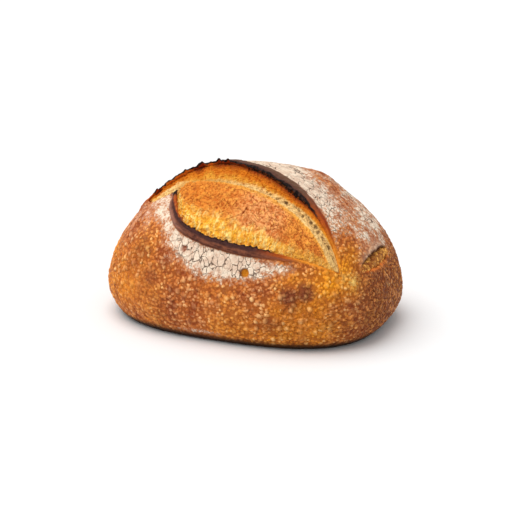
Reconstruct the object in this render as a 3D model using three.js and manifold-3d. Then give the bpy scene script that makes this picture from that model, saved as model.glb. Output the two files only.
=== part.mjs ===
// A sourdough loaf: a short, tall batard. Its long score has opened into a raised ear, a bulge
// of torn crumb and a rolled lower lip, and a small second score lies across its right end.
// Millimetres. +X runs along the loaf, +Z is up, and the long score opens towards -Y and up.
// The origin lies on the ground under the middle of the loaf.

import * as THREE from "three";
import { mergeVertices } from "three/addons/utils/BufferGeometryUtils.js";
import Module from "manifold-3d";

// Driving dimensions of the body.
const length = 232;
const width = 162;
const crownHeight = 122; // top of the body, without the ear
const widestHeight = 22.5; // height of the largest plan section
const footShare = 0.88; // size of the flat foot against the largest section
const planPower = 2.7; // squareness of the plan outline
const crownPower = 2.06; // roundness of the upper body
const footPower = 1.45; // roundness of the edge round the foot
const heightSlant = 0.04; // the right end stands a little higher
const heightDroop = -0.16; // both ends drop below the crown

// Driving dimensions of the long score.
const earLift = 6.5; // ear edge above the body
const earReach = 32; // how far back the crust starts to rise to the ear
const earCurve = 1.6; // how suddenly it rises
const earRoll = { width: 12, height: 1.8 }; // rolled band along the ear's edge
const lipRoll = { width: 8.5, height: 2.8 }; // rolled lip on the near side
const flapThickness = 3; // crust at the edge of the ear and of the lip
const seamDepth = 4; // crevice between the ear and the bulge, below the body
const bellyRise = 4; // bulge of torn crumb above the body
const wallSag = 1.2; // hollow of the torn wall under the ear

// Guide lines of the long score in plan, from its right tip to its left tip.
const earLine = [
  [90, -52], [76.6, -42.2], [57.2, -34.8], [34, -28.5], [10, -20], [-15, -12], [-40, -8], [-62, -11], [-80, -22],
];
const seamLine = [
  [90, -52], [77, -45.5], [60, -41], [38, -36.5], [13, -31], [-12, -26], [-38, -22], [-60, -19.5], [-80, -22],
];
const lipLine = [
  [90, -52], [76, -58.5], [53, -65], [28, -67.2], [4, -67], [-18, -64.2], [-35, -58], [-45, -46],
  [-51, -33.5], [-60, -30], [-70, -28.5], [-80, -22],
];
const lipEnd = 0.845; // share of the lip's line at which the lip ends in a hook

// The small second score is a leaf-shaped groove across the right end.
const endScore = { at: [105.4, -12.5, 63.2], length: 50, width: 13, depth: 9, turn: 86, lean: -38 };

// A bubble has burst in the crust below the lip.
const burstBubble = { at: [22, -75.5, 60], radius: 3.2 };

// Swellings and hollows that make the body uneven: place, height and spread.
const swellings = [
  { at: [46, 30, 108], rise: 3, spread: 13 },
  { at: [70, 18, 96], rise: -2, spread: 14 },
  { at: [-88, -30, 70], rise: 1.5, spread: 22 },
  { at: [100, -30, 40], rise: 1.5, spread: 24 },
  { at: [97, -14, 76], rise: 1.5, spread: 13 },
  { at: [-60, 50, 70], rise: 2, spread: 28 },
  { at: [20, 70, 60], rise: -1.5, spread: 26 },
  { at: [43, 33, 111], rise: 1.4, spread: 7 },
];
const swellingCore = 30; // swellings push away from the loaf's axis at this height

// Mesh density.
const halfSegments = 44; // sections on each side of the long score
const footRings = [0.45, 0.8]; // rings on the flat foot, as shares of its size
const underRings = 6;
const sideRings = 9;
const rimRings = [1, 0.76, 0.56, 0.4, 0.28, 0.2, 0.13, 0.07, 0.025]; // shares of the rim zone
const rimZone = 36; // stretch of crust next to the rim
const tornRings = 6; // from the rim to the seam
const walkSteps = 400;

// The outline's corners that face the two tips of the long score.
const rightCorner = -0.66;
const leftCorner = Math.PI + 0.22;

const halfLength = length / 2;
const halfWidth = width / 2;
const mix = THREE.MathUtils.lerp;
const smooth = THREE.MathUtils.smoothstep;
const radians = THREE.MathUtils.degToRad;

// Size of the plan section through (x, y) against the largest section.
function planShare(x, y) {
  const alongX = Math.abs(x / halfLength) ** planPower;
  const alongY = Math.abs(y / halfWidth) ** planPower;
  return (alongX + alongY) ** (1 / planPower);
}

// Point of the upper body over the plan point (x, y).
function bodyPoint(x, y) {
  const share = Math.min(planShare(x, y), 1);
  const along = x / halfLength;
  const crown = (crownHeight - widestHeight) * (1 + heightSlant * along + heightDroop * along ** 2);
  return new THREE.Vector3(x, y, widestHeight + crown * (1 - share ** crownPower) ** (1 / crownPower));
}

// Outward normal of the upper body, taken just inside the outline.
function bodyNormal(x, y) {
  const step = 0.5;
  const inside = 0.995;
  const along = (dx, dy) => {
    const ahead = bodyPoint(x * inside + dx, y * inside + dy);
    return ahead.sub(bodyPoint(x * inside - dx, y * inside - dy));
  };
  return along(step, 0).cross(along(0, step)).normalize();
}

// The body's surface over (x, y), moved out by a height.
function raisedPoint(x, y, height) {
  return bodyPoint(x, y).addScaledVector(bodyNormal(x, y), height);
}

function walkedLength(points) {
  return points.reduce((sum, point, i) => (i ? sum + point.distanceTo(points[i - 1]) : 0), 0);
}

// A walked line cut into equal steps.
function evenSteps(points, steps) {
  const total = walkedLength(points);
  const result = [points[0].clone()];
  let at = 1;
  let walked = 0;
  for (let i = 1; i < steps; i++) {
    const wanted = (total * i) / steps;
    while (walked + points[at].distanceTo(points[at - 1]) < wanted) {
      walked += points[at].distanceTo(points[at - 1]);
      at++;
    }
    const share = (wanted - walked) / points[at].distanceTo(points[at - 1]);
    result.push(points[at - 1].clone().lerp(points[at], share));
  }
  result.push(points[points.length - 1].clone());
  return result;
}

// The largest plan section from the corner at the right tip to the one at the left tip.
function outlineHalf(endCorner) {
  const points = [];
  for (let i = 0; i <= walkSteps; i++) {
    const angle = mix(rightCorner, endCorner, i / walkSteps);
    const unit = new THREE.Vector2(Math.cos(angle), Math.sin(angle));
    const size = (Math.abs(unit.x) ** planPower + Math.abs(unit.y) ** planPower) ** (-1 / planPower);
    points.push(new THREE.Vector2(halfLength * size * unit.x, halfWidth * size * unit.y));
  }
  return evenSteps(points, halfSegments);
}

function guide(line) {
  const curve = new THREE.SplineCurve(line.map(([x, y]) => new THREE.Vector2(x, y)));
  return evenSteps(curve.getPoints(walkSteps), halfSegments);
}

// How much of the ear stands at a share t of the way from the right tip to the left tip.
function earSize(t) {
  return smooth(t, 0.02, 0.34) * (1 - 0.35 * smooth(t, 0.8, 1));
}

// How much of the rolled lip stands there.
function lipSize(t) {
  return smooth(t, 0.1, 0.42) * (1 - smooth(t, lipEnd - 0.02, lipEnd + 0.03));
}

// Height of a rolled edge over its own width: highest a third of the way out, and 0 at its foot.
function rollHeight(distance, roll) {
  const top = 0.35;
  const edgeDrop = 0.3;
  const share = Math.min(distance / roll.width, 1);
  if (share < top) return 1 - edgeDrop * (1 - share / top) ** 2;
  return Math.sqrt(1 - ((share - top) / (1 - top)) ** 2);
}

// Height of the crust above the plain body at a distance from the rim.
function crustRise(t, isFar, distance) {
  if (!isFar) return lipSize(t) * lipRoll.height * rollHeight(distance, lipRoll);
  const nearness = 1 - Math.min(distance / earReach, 1);
  const lift = (earLift - earRoll.height) * nearness ** earCurve;
  return earSize(t) * (lift + earRoll.height * rollHeight(distance, earRoll));
}

// The swellings and hollows move a point away from the loaf's axis.
function uneven(point) {
  const out = new THREE.Vector3(point.x, point.y, Math.max(point.z - swellingCore, 0)).normalize();
  const moved = point.clone();
  for (const { at, rise, spread } of swellings) {
    const gap = point.distanceTo(new THREE.Vector3(...at)) / spread;
    moved.addScaledVector(out, rise * Math.exp(-gap * gap));
  }
  return moved;
}

// The flat foot and the rounded underside below a point of the outline.
function underPoints(start) {
  const points = footRings.map((share) =>
    new THREE.Vector3(start.x, start.y, 0).multiplyScalar(share * footShare),
  );
  for (let k = 0; k < underRings; k++) {
    const angle = ((k / underRings) * Math.PI) / 2;
    const size = mix(footShare, 1, Math.sin(angle) ** (2 / footPower));
    const height = widestHeight * (1 - Math.cos(angle) ** (2 / footPower));
    points.push(new THREE.Vector3(start.x * size, start.y * size, height));
  }
  return points;
}

// The side and the crown over a straight line in plan, from the outline to the rim.
function crustPoints(t, isFar, start, end) {
  const walk = [];
  for (let i = 0; i <= walkSteps; i++) {
    const share = (i / walkSteps) ** 2;
    walk.push(bodyPoint(mix(start.x, end.x, share), mix(start.y, end.y, share)));
  }
  const even = evenSteps(walk, walkSteps);
  const total = walkedLength(walk);
  const zone = Math.min(rimZone, total / 2);
  const distances = [];
  for (let k = 0; k < sideRings; k++) distances.push(mix(total, zone, k / sideRings));
  for (const share of rimRings) distances.push(share * zone);
  return distances.map((distance) => {
    const { x, y } = even[Math.round((1 - distance / total) * walkSteps)];
    return raisedPoint(x, y, crustRise(t, isFar, distance));
  });
}

// The rim's rounded edge, and the torn crumb from under it to the seam: a wall that falls from
// the ear on the far side, and the bulge behind the lip on the near side.
function tornPoints(t, isFar, rim, index, seamEnd) {
  const { x, y } = rim[index];
  const before = rim[Math.max(index - 1, 0)];
  const after = rim[Math.min(index + 1, halfSegments)];
  const out = bodyNormal(x, y);
  const away = bodyPoint(after.x, after.y).sub(bodyPoint(before.x, before.y)).cross(out).normalize();
  if (isFar === away.y < 0) away.negate();

  const size = isFar ? earSize(t) : lipSize(t);
  const top = crustRise(t, isFar, 0);
  // A point under the rim, set back and down by shares of the flap's thickness.
  const underRim = (back, down) =>
    raisedPoint(x, y, top - down * flapThickness * size).addScaledVector(away, back * flapThickness * size);
  const points = [underRim(0, 0.3), underRim(0.3, 0.8)];

  const taper = Math.sin(Math.PI * t) ** 0.6;
  const wallTop = underRim(0.35, 1.3);
  const bottom = raisedPoint(seamEnd.x, seamEnd.y, -seamDepth * taper);
  for (let k = 0; k < tornRings; k++) {
    const across = (k + 0.6) / (tornRings + 0.6);
    const crest = Math.sin(Math.PI * across);
    if (isFar) {
      points.push(wallTop.clone().lerp(bottom, across).addScaledVector(out, -wallSag * taper * crest));
    } else {
      const valley = mix(-flapThickness * 0.5 * size, -seamDepth * taper, across);
      const height = mix(valley, bellyRise * taper, crest ** 0.7);
      points.push(raisedPoint(mix(x, seamEnd.x, across), mix(y, seamEnd.y, across), height));
    }
  }
  points.push(bottom);
  return points;
}

// The loaf's closed skin, stitched from its sections round the long score.
function loafGeometry() {
  const far = { outline: outlineHalf(leftCorner), rim: guide(earLine) };
  const near = { outline: outlineHalf(leftCorner - 2 * Math.PI), rim: guide(lipLine) };
  const seam = guide(seamLine);
  const sections = [];
  for (let i = 0; i < 2 * halfSegments; i++) {
    const isFar = i <= halfSegments;
    const index = isFar ? i : 2 * halfSegments - i;
    const t = index / halfSegments;
    const { outline, rim } = isFar ? far : near;
    const upper = [
      ...crustPoints(t, isFar, outline[index], rim[index]),
      ...tornPoints(t, isFar, rim, index, seam[index]),
    ];
    sections.push([...underPoints(outline[index]), ...upper.map(uneven)]);
  }

  const rings = sections[0].length;
  const footMiddle = [0, 0, 0];
  const positions = [...footMiddle, ...sections.flat().flatMap((p) => [p.x, p.y, p.z])];
  const vertex = (section, ring) => 1 + (section % sections.length) * rings + ring;
  const faces = [];
  for (let i = 0; i < sections.length; i++) {
    faces.push(0, vertex(i + 1, 0), vertex(i, 0));
    for (let k = 0; k < rings - 1; k++) {
      faces.push(vertex(i, k), vertex(i + 1, k), vertex(i + 1, k + 1));
      faces.push(vertex(i, k), vertex(i + 1, k + 1), vertex(i, k + 1));
    }
  }
  const geometry = new THREE.BufferGeometry();
  geometry.setAttribute("position", new THREE.Float32BufferAttribute(positions, 3));
  geometry.setIndex(faces);
  return geometry;
}

function burstBubbleGeometry() {
  const pit = new THREE.SphereGeometry(burstBubble.radius, 12, 8);
  pit.translate(...burstBubble.at);
  return pit;
}

function endScoreGeometry() {
  const groove = new THREE.SphereGeometry(0.5, 20, 12);
  groove.scale(endScore.length, endScore.width, endScore.depth);
  groove.rotateX(radians(endScore.lean));
  groove.rotateZ(radians(endScore.turn));
  groove.translate(...endScore.at);
  return groove;
}

const wasm = await Module();
wasm.setup();

function toSolid(geometry) {
  const bare = geometry.clone();
  bare.deleteAttribute("normal");
  bare.deleteAttribute("uv");
  const merged = mergeVertices(bare, 1e-3);
  const vertProperties = merged.attributes.position.array;
  const triVerts = new Uint32Array(merged.index.array);
  return new wasm.Manifold(new wasm.Mesh({ numProp: 3, vertProperties, triVerts }));
}

function toGeometry(solid) {
  const { vertProperties, triVerts } = solid.getMesh();
  const geometry = new THREE.BufferGeometry();
  geometry.setAttribute("position", new THREE.BufferAttribute(vertProperties, 3));
  geometry.setIndex(new THREE.BufferAttribute(triVerts, 1));
  geometry.computeVertexNormals();
  return geometry;
}

const skin = toSolid(loafGeometry());
const scored = skin.subtract(toSolid(burstBubbleGeometry())).subtract(toSolid(endScoreGeometry()));

const crust = new THREE.MeshStandardMaterial({ color: 0xb5682a, roughness: 0.62, metalness: 0 });
const loaf = new THREE.Mesh(toGeometry(scored), crust);
loaf.name = "loaf";

const part = new THREE.Group();
part.add(loaf);

export default part;
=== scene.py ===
import math

import bmesh
import bpy
import numpy as np
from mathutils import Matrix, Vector


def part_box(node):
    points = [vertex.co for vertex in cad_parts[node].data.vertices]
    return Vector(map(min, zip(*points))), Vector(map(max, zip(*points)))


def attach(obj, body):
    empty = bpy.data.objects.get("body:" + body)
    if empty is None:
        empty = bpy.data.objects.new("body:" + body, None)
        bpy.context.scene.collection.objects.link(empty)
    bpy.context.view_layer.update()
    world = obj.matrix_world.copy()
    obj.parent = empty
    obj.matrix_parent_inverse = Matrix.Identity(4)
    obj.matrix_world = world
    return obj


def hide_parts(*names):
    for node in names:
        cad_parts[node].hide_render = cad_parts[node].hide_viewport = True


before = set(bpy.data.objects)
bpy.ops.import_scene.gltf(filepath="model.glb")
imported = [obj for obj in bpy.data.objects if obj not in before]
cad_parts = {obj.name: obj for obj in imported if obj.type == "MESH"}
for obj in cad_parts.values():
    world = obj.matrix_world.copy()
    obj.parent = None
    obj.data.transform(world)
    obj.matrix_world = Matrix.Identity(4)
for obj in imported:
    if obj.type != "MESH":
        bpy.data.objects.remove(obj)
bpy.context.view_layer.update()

# Everything below is worked out in millimetres and written to the meshes in metres.
mm = 0.001
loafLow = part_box("loaf")[0]
halfLength = round(-loafLow.x / mm)
halfWidth = round(-loafLow.y / mm)
fineSteps = 400  # steps of a line that is measured along

# the dough's body without its scores
body = {
    "crown": 122,  # height of the top
    "widest": 22.5,  # height of the largest plan section
    "foot": 0.88,  # flat foot against the largest section
    "planPower": 2.7,
    "crownPower": 2.06,
    "footPower": 1.45,
    "slant": 0.04,
    "droop": -0.16,
    "core": 30,  # height of the place that swellings point away from
}

# the long score that opened in the oven, its lines in plan from the right tip to the left tip
score = {
    "ear": [(90, -52), (76.6, -42.2), (57.2, -34.8), (34, -28.5), (10, -20), (-15, -12), (-40, -8),
            (-62, -11), (-80, -22)],
    "seam": [(90, -52), (77, -45.5), (60, -41), (38, -36.5), (13, -31), (-12, -26), (-38, -22),
             (-60, -19.5), (-80, -22)],
    "lip": [(90, -52), (76, -58.5), (53, -65), (28, -67.2), (4, -67), (-18, -64.2), (-35, -58), (-45, -46),
            (-51, -33.5), (-60, -30), (-70, -28.5), (-80, -22)],
    "rightCorner": -0.66,
    "leftCorner": math.pi + 0.22,
    # spans of the way along, from 0 at the right tip to 1 at the left tip
    "earGrows": (0.02, 0.34),
    "earFades": (0.8, 1),
    "earFade": 0.35,
    "lipGrows": (0.1, 0.42),
    "lipEnd": 0.845,  # the lip ends in a hook here
    "lipFades": (-0.02, 0.03),  # about its end
    # heights, widths and thicknesses
    "earLift": 7.2,
    "earReach": 32,
    "earCurve": 1.6,
    "earRoll": (12, 1.8),  # width and height of the rolled band
    "earRollGrows": (0.0, 0.35),
    "lipRoll": (8.5, 2.8),
    "lipRollGrows": (0.12, 0.38),
    "lipRollThins": (0.765, 0.825),
    "lipRollThin": 0.5,
    "rollStart": 0.24,  # share of its width that a roll has at the tip
    "flap": 2.5,  # crust thickness at the torn edges
    "seamDepth": 4,
    "bellyRise": 4,
    "wallSag": 1.2,
    "recess": 9,  # how deep the crust is hollowed under the crumb
}

# swellings and hollows: place, height, spread
swellings = [
    ((46, 30, 108), 3, 13), ((70, 18, 96), -2, 14), ((-88, -30, 70), 1.5, 22), ((100, -30, 40), 1.5, 24),
    ((97, -14, 76), 1.5, 13), ((-60, 50, 70), 2, 28), ((20, 70, 60), -1.5, 26), ((43, 33, 111), 1.4, 7),
]


def smooth(value, low, high):
    share = np.clip((np.asarray(value, float) - low) / (high - low), 0, 1)
    return share * share * (3 - 2 * share)


def hill(value, middle, width):
    return np.exp(-(((value - middle) / width) ** 2))


# A value read off a line of pairs.
def curve(value, pairs):
    return np.interp(value, *zip(*pairs))


def distance(points, place):
    return np.linalg.norm(points - np.array(place), axis=1)


def unit(vectors):
    return vectors / np.maximum(np.linalg.norm(vectors, axis=-1, keepdims=True), 1e-9)


def planShare(x, y):
    power = body["planPower"]
    return (np.abs(x / halfLength) ** power + np.abs(y / halfWidth) ** power) ** (1 / power)


def bodyPoint(x, y):
    x, y = np.asarray(x, float), np.asarray(y, float)
    power = body["crownPower"]
    along = x / halfLength
    crown = (body["crown"] - body["widest"]) * (1 + body["slant"] * along + body["droop"] * along**2)
    share = np.minimum(planShare(x, y), 1)
    return np.stack([x, y, body["widest"] + crown * (1 - share**power) ** (1 / power)], -1)


def bodyNormal(x, y):
    step, inside = 0.5, 0.995
    x, y = np.asarray(x, float) * inside, np.asarray(y, float) * inside
    alongX = bodyPoint(x + step, y) - bodyPoint(x - step, y)
    alongY = bodyPoint(x, y + step) - bodyPoint(x, y - step)
    return unit(np.cross(alongX, alongY))


def raised(x, y, height):
    return bodyPoint(x, y) + bodyNormal(x, y) * np.asarray(height, float)[..., None]


# How far along a line each of its points lies.
def wayAlong(points):
    return np.concatenate([[0], np.cumsum(np.linalg.norm(np.diff(points, axis=0), axis=1))])


def evenLine(points, steps):
    walked = wayAlong(points)
    wanted = np.linspace(0, walked[-1], steps + 1)
    return np.stack([np.interp(wanted, walked, column) for column in points.T], -1)


# A smooth line through hand-set points, cut into equal steps.
def guide(points, steps):
    points = np.array(points, float)
    ends = np.vstack([points[:1], points, points[-1:]])
    walk = np.linspace(0, len(points) - 1, fineSteps + 1)
    first = np.minimum(walk.astype(int), len(points) - 2)
    share = (walk - first)[:, None]
    before, start, end, after = (ends[first + k] for k in range(4))
    bend = 2 * before - 5 * start + 4 * end - after
    twist = 3 * (start - end) + after - before
    line = start + 0.5 * share * (end - before + share * (bend + share * twist))
    return evenLine(line, steps)


def outlineHalf(endCorner, steps):
    power = body["planPower"]
    angle = np.linspace(score["rightCorner"], endCorner, fineSteps + 1)
    x, y = np.cos(angle), np.sin(angle)
    size = (np.abs(x) ** power + np.abs(y) ** power) ** (-1 / power)
    return evenLine(np.stack([halfLength * size * x, halfWidth * size * y], -1), steps)


def earSize(t):
    return smooth(t, *score["earGrows"]) * (1 - score["earFade"] * smooth(t, *score["earFades"]))


def lipSize(t):
    low, high = (score["lipEnd"] + step for step in score["lipFades"])
    return smooth(t, *score["lipGrows"]) * (1 - smooth(t, low, high))


def sizeAt(t, isFar):
    return earSize(t) if isFar else lipSize(t)


# The rolled band's section: it drops a little at the torn edge and rounds off behind.
def rollHeight(gap, width):
    top, drop = 0.35, 0.3
    share = np.clip(gap / width, 0, 1)
    outer = np.sqrt(np.maximum(1 - ((share - top) / (1 - top)) ** 2, 0))
    return np.where(share < top, 1 - drop * (1 - share / top) ** 2, outer)


def rollWidth(t, isFar):
    name = "earRoll" if isFar else "lipRoll"
    start = score["rollStart"]
    width = score[name][0] * (start + (1 - start) * smooth(t, *score[name + "Grows"]))
    return width if isFar else width * (1 - score["lipRollThin"] * smooth(t, *score["lipRollThins"]))


def crustRise(t, isFar, gap):
    if not isFar:
        return lipSize(t) * score["lipRoll"][1] * rollHeight(gap, rollWidth(t, False))
    rollUp = score["earRoll"][1]
    near = 1 - np.clip(gap / score["earReach"], 0, 1)
    lift = (score["earLift"] - rollUp) * near ** score["earCurve"]
    return earSize(t) * (lift + rollUp * rollHeight(gap, rollWidth(t, True)))


def uneven(points):
    core = np.stack([points[:, 0], points[:, 1], np.maximum(points[:, 2] - body["core"], 0)], -1)
    out = unit(core)
    moved = points.copy()
    for place, rise, spread in swellings:
        moved += out * (rise * hill(distance(points, place), 0, spread))[:, None]
    return moved


# A soft random line, for ragged edges.
def ripple(value, seed):
    table = np.random.default_rng(seed).uniform(-1, 1, 512)
    cell = np.floor(value).astype(int)
    share = smooth(value - cell, 0, 1)
    return table[cell % len(table)] * (1 - share) + table[(cell + 1) % len(table)] * share


# Pointed teeth of uneven height, one to a step.
def teeth(value, seed):
    table = np.random.default_rng(seed).uniform(0, 1, 512) ** 1.4
    cell = np.floor(value).astype(int)
    return table[cell % len(table)] * (1 - np.abs(2 * (value - cell) - 1))


# Coarse and fine unevenness along an edge: steps to the full way, seed, height and shift of each.
def jagged(shape, along, layers, fineShare=1):
    coarse, fine = (shape(along * steps + shift, seed) * height for steps, seed, height, shift in layers)
    return coarse + fine * fineShare


def deselectAll():
    if bpy.context.object and bpy.context.object.mode != "OBJECT":
        bpy.ops.object.mode_set(mode="OBJECT")
    bpy.ops.object.select_all(action="DESELECT")


def pick(piece):
    deselectAll()
    piece.select_set(True)
    bpy.context.view_layer.objects.active = piece


def applyModifier(piece, kind, **settings):
    pick(piece)
    modifier = piece.modifiers.new(kind.title(), kind)
    for name, value in settings.items():
        setattr(modifier, name, value)
    bpy.ops.object.modifier_apply(modifier=modifier.name)


def readVectors(piece, name):
    values = np.empty(len(piece.data.vertices) * 3, np.float32)
    piece.data.vertices.foreach_get(name, values)
    return values.reshape(-1, 3).astype(float)


def readPoints(piece):
    return readVectors(piece, "co") / mm


def writePoints(piece, points):
    piece.data.vertices.foreach_set("co", (points * mm).astype(np.float32).ravel())
    piece.data.update()


def readMask(piece, name):
    values = np.empty(len(piece.data.vertices), np.float32)
    piece.data.attributes[name].data.foreach_get("value", values)
    return values.astype(float)


def storeMasks(piece, masks):
    for name, values in masks.items():
        layer = piece.data.attributes.get(name) or piece.data.attributes.new(name, "FLOAT", "POINT")
        layer.data.foreach_set("value", np.asarray(values, np.float32))


def storePlace(piece, name, points):
    layer = piece.data.attributes.new(name, "FLOAT_VECTOR", "POINT")
    layer.data.foreach_set("vector", points.astype(np.float32).ravel())


# Soft round spots: each has a place, a radius and a strength.
def spots(points, places):
    result = np.zeros(len(points))
    for place, radius, strength in places:
        result = np.maximum(result, strength * hill(distance(points, place), 0, radius))
    return result


# What a node gives out, in shader nodes and geometry nodes alike, ready for sums.
class Value:
    def __init__(self, tree, socket):
        self.tree, self.socket = tree, socket

    def __add__(self, other):
        return calc("ADD", self, other)

    def __sub__(self, other):
        return calc("SUBTRACT", self, other)

    def __rsub__(self, other):
        return calc("SUBTRACT", other, self)

    def __mul__(self, other):
        return calc("MULTIPLY", self, other)

    def __truediv__(self, other):
        return calc("DIVIDE", self, other)

    def __pow__(self, other):
        return calc("POWER", self, other)

    def __abs__(self):
        return calc("ABSOLUTE", self, 0)


def plug(value, socket):
    if isinstance(value, Value):
        value.tree.links.new(value.socket, socket)
    else:
        socket.default_value = value


def addNode(tree, kind, sockets=None, **settings):
    item = tree.nodes.new(kind)
    for name, value in settings.items():
        setattr(item, name, value)
    for name, value in (sockets or {}).items():
        plug(value, item.inputs[name])
    return item


# One output of a new node, in the tree of the values that it takes.
def worked(kind, output, sockets, **settings):
    tree = next(value.tree for value in sockets.values() if isinstance(value, Value))
    return Value(tree, addNode(tree, kind, sockets, **settings).outputs[output])


def calc(operation, a, b):
    return worked("ShaderNodeMath", 0, {0: a, 1: b}, operation=operation)


def larger(a, b):
    return calc("MAXIMUM", a, b)


def move(operation, a, b):
    return worked("ShaderNodeVectorMath", 0, {0: a, 1: b}, operation=operation)


def stretch(place, shares):
    return move("MULTIPLY", place, shares)


def ramp(value, low, high, toLow=0.0, toHigh=1.0):
    sockets = {"Value": value, "From Min": low, "From Max": high, "To Min": toLow, "To Max": toHigh}
    return worked("ShaderNodeMapRange", 0, sockets, interpolation_type="SMOOTHSTEP")


# From one number where the share is 0 to another where it is 1.
def between(share, low, high):
    return ramp(share, 0, 1, low, high)


def noise(place, size, detail=2.0, rough=0.5, output="Fac"):
    sockets = {"Vector": place, "Scale": 1 / size, "Detail": detail, "Roughness": rough}
    return worked("ShaderNodeTexNoise", output, sockets)


def cells(place, size, output="Distance", feature="F1"):
    return worked("ShaderNodeTexVoronoi", output, {"Vector": place, "Scale": 1 / size}, feature=feature)


# The three numbers of a random colour.
def split(colour):
    item = addNode(colour.tree, "ShaderNodeSeparateXYZ", {0: colour})
    return [Value(colour.tree, socket) for socket in item.outputs]


# The place, pushed about by soft noise so that no pattern runs straight.
def wander(place, size, amount):
    push = move("SUBTRACT", noise(place, size, 1.0, 0.5, "Color"), (0.5, 0.5, 0.5))
    return move("ADD", place, stretch(push, (amount, amount, amount)))


# A mask or a place that is stored on the piece's points.
def stored(tree, name, isPlace=False):
    if tree.bl_idname == "GeometryNodeTree":
        kind = "FLOAT_VECTOR" if isPlace else "FLOAT"
        item = addNode(tree, "GeometryNodeInputNamedAttribute", {"Name": name}, data_type=kind)
        return Value(tree, item.outputs[0])
    item = addNode(tree, "ShaderNodeAttribute", attribute_name=name)
    return Value(tree, item.outputs["Vector" if isPlace else "Fac"])


def placesOn(tree):
    return stored(tree, "place", True), stored(tree, "flow", True)


def masksOn(tree):
    return lambda name: stored(tree, name)


# patterns of the baked skin: places and sizes in millimetres, heights from 0 to 1
skinLook = {
    "blisterWander": (5.0, 2.1),  # size and amount
    "pebbleCell": 2.7,
    "pebbleRadius": 0.6,
    "pebbleHeight": 0.5,
    "pebbleLit": (0.1, 0.85),
    "pebbleTones": (0.2, 1, 0.1, 0.9),
    "blisterCell": 5.2,
    "blisterRadius": (0.28, 0.52),
    "blisterChosen": (0.52, 0.64),
    "blisterPower": 0.7,
    "blisterTones": (0.3, 0.85),
    "gapEdge": (0.35, 0.0),
    "boldRadius": 1.2,  # what changes where the blisters are bold
    "boldMore": 0.4,
    "boldGaps": 0.5,
    "boldPebbles": 0.35,
    "wrinkleWander": (9.0, 7.0),
    "wrinkle": (4.2, 0.55, 0.14),  # size, roughness and width of the folds
    "creaseWander": (14.0, 9.0),
    "creaseStretch": (0.3, 0.3, 1.0),
    "crease": (3.4, 0.5, 0.13),
    "crackBend": (7.0, 4.0),
    "crackJag": (1.9, 1.2),
    "crackCell": 4.9,
    "crackUpright": (1.2, 1.0, 0.66),  # on the near side
    "crackLying": (0.6, 1.15, 1.0),  # on the crown behind the ear
    "crackPatch": 7.0,
    "crackWidth": (0.37, 0.62, 0.01, 0.068),
    "crackEdge": (0.35, 1.0),
}

# pattern of the torn crumb: strands, finer strands in them, and small holes
tornLook = {
    "wander": (5.0, 3.0),
    "coarse": (3.9, 3.0, 0.62),  # size, detail and roughness
    "fine": (3.9 * 0.32, 2.0, 0.6),
    "hole": 3.9 * 0.8,
    "holeEdge": (0.1, 0.42),
    "shares": (0.9, 0.35, 0.15),
    "height": (0.35, 0.95),
}


def domeOver(gap, radius):
    share = gap / radius
    return larger(1 - share * share, 0.0)


# Small pebbles all over with larger blisters here and there: their height, the gaps between them
# (partly painted shade) and how light each one is (partly a painted highlight on the domes).
def blisterPattern(place):
    look, bold = skinLook, masksOn(place.tree)("bold")
    loose = wander(place, *look["blisterWander"])
    size, chance, light = split(cells(loose, look["blisterCell"], "Color"))
    pebbleLight = split(cells(loose, look["pebbleCell"], "Color"))[2]
    pebble = domeOver(cells(loose, look["pebbleCell"]), look["pebbleRadius"])
    radius = between(size, *look["blisterRadius"]) * between(bold, 1.0, look["boldRadius"])
    dome = domeOver(cells(loose, look["blisterCell"]), radius)
    dome = dome ** look["blisterPower"] * ramp(chance + bold * look["boldMore"], *look["blisterChosen"])
    height = larger(dome, pebble * look["pebbleHeight"])
    gaps = ramp(pebble, *look["gapEdge"]) * (1 - dome) * between(bold, 1.0, look["boldGaps"])
    lightSmall = ramp(pebble, *look["pebbleLit"]) * ramp(pebbleLight, *look["pebbleTones"])
    lightSmall = lightSmall * between(bold, 1.0, look["boldPebbles"])
    lightLarge = dome * between(light + bold * look["boldMore"], *look["blisterTones"])
    return height, gaps, larger(lightSmall, lightLarge)


# Low along soft winding lines, and 1 away from them.
def foldPattern(place, size, rough, width):
    return ramp(abs(noise(place, size, 2.0, rough) - 0.5), 0.0, width)


def wrinklePattern(place):
    return foldPattern(wander(place, *skinLook["wrinkleWander"]), *skinLook["wrinkle"])


# Creases that run level round the loaf.
def creasePattern(place):
    level = stretch(wander(place, *skinLook["creaseWander"]), skinLook["creaseStretch"])
    return foldPattern(level, *skinLook["crease"])


def crackPattern(place):
    look, far = skinLook, masksOn(place.tree)("ear")
    loose = wander(wander(place, *look["crackBend"]), *look["crackJag"])
    lines = {}
    for key in ("crackUpright", "crackLying"):
        stretched = stretch(loose, look[key])
        edge = cells(stretched, look["crackCell"], "Distance", "DISTANCE_TO_EDGE")
        width = ramp(noise(stretched, look["crackPatch"]), *look["crackWidth"])
        lines[key] = 1 - ramp(edge / width, *look["crackEdge"])
    return lines["crackLying"] * far + lines["crackUpright"] * (1 - far)


def tornPattern(place):
    look = tornLook
    loose = wander(place, *look["wander"])
    cavity = 1 - ramp(cells(loose, look["hole"]), *look["holeEdge"])
    coarseShare, fineShare, holeShare = look["shares"]
    height = noise(loose, *look["coarse"]) * coarseShare + noise(loose, *look["fine"]) * fineShare
    return ramp(height - cavity * holeShare, *look["height"])


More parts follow.
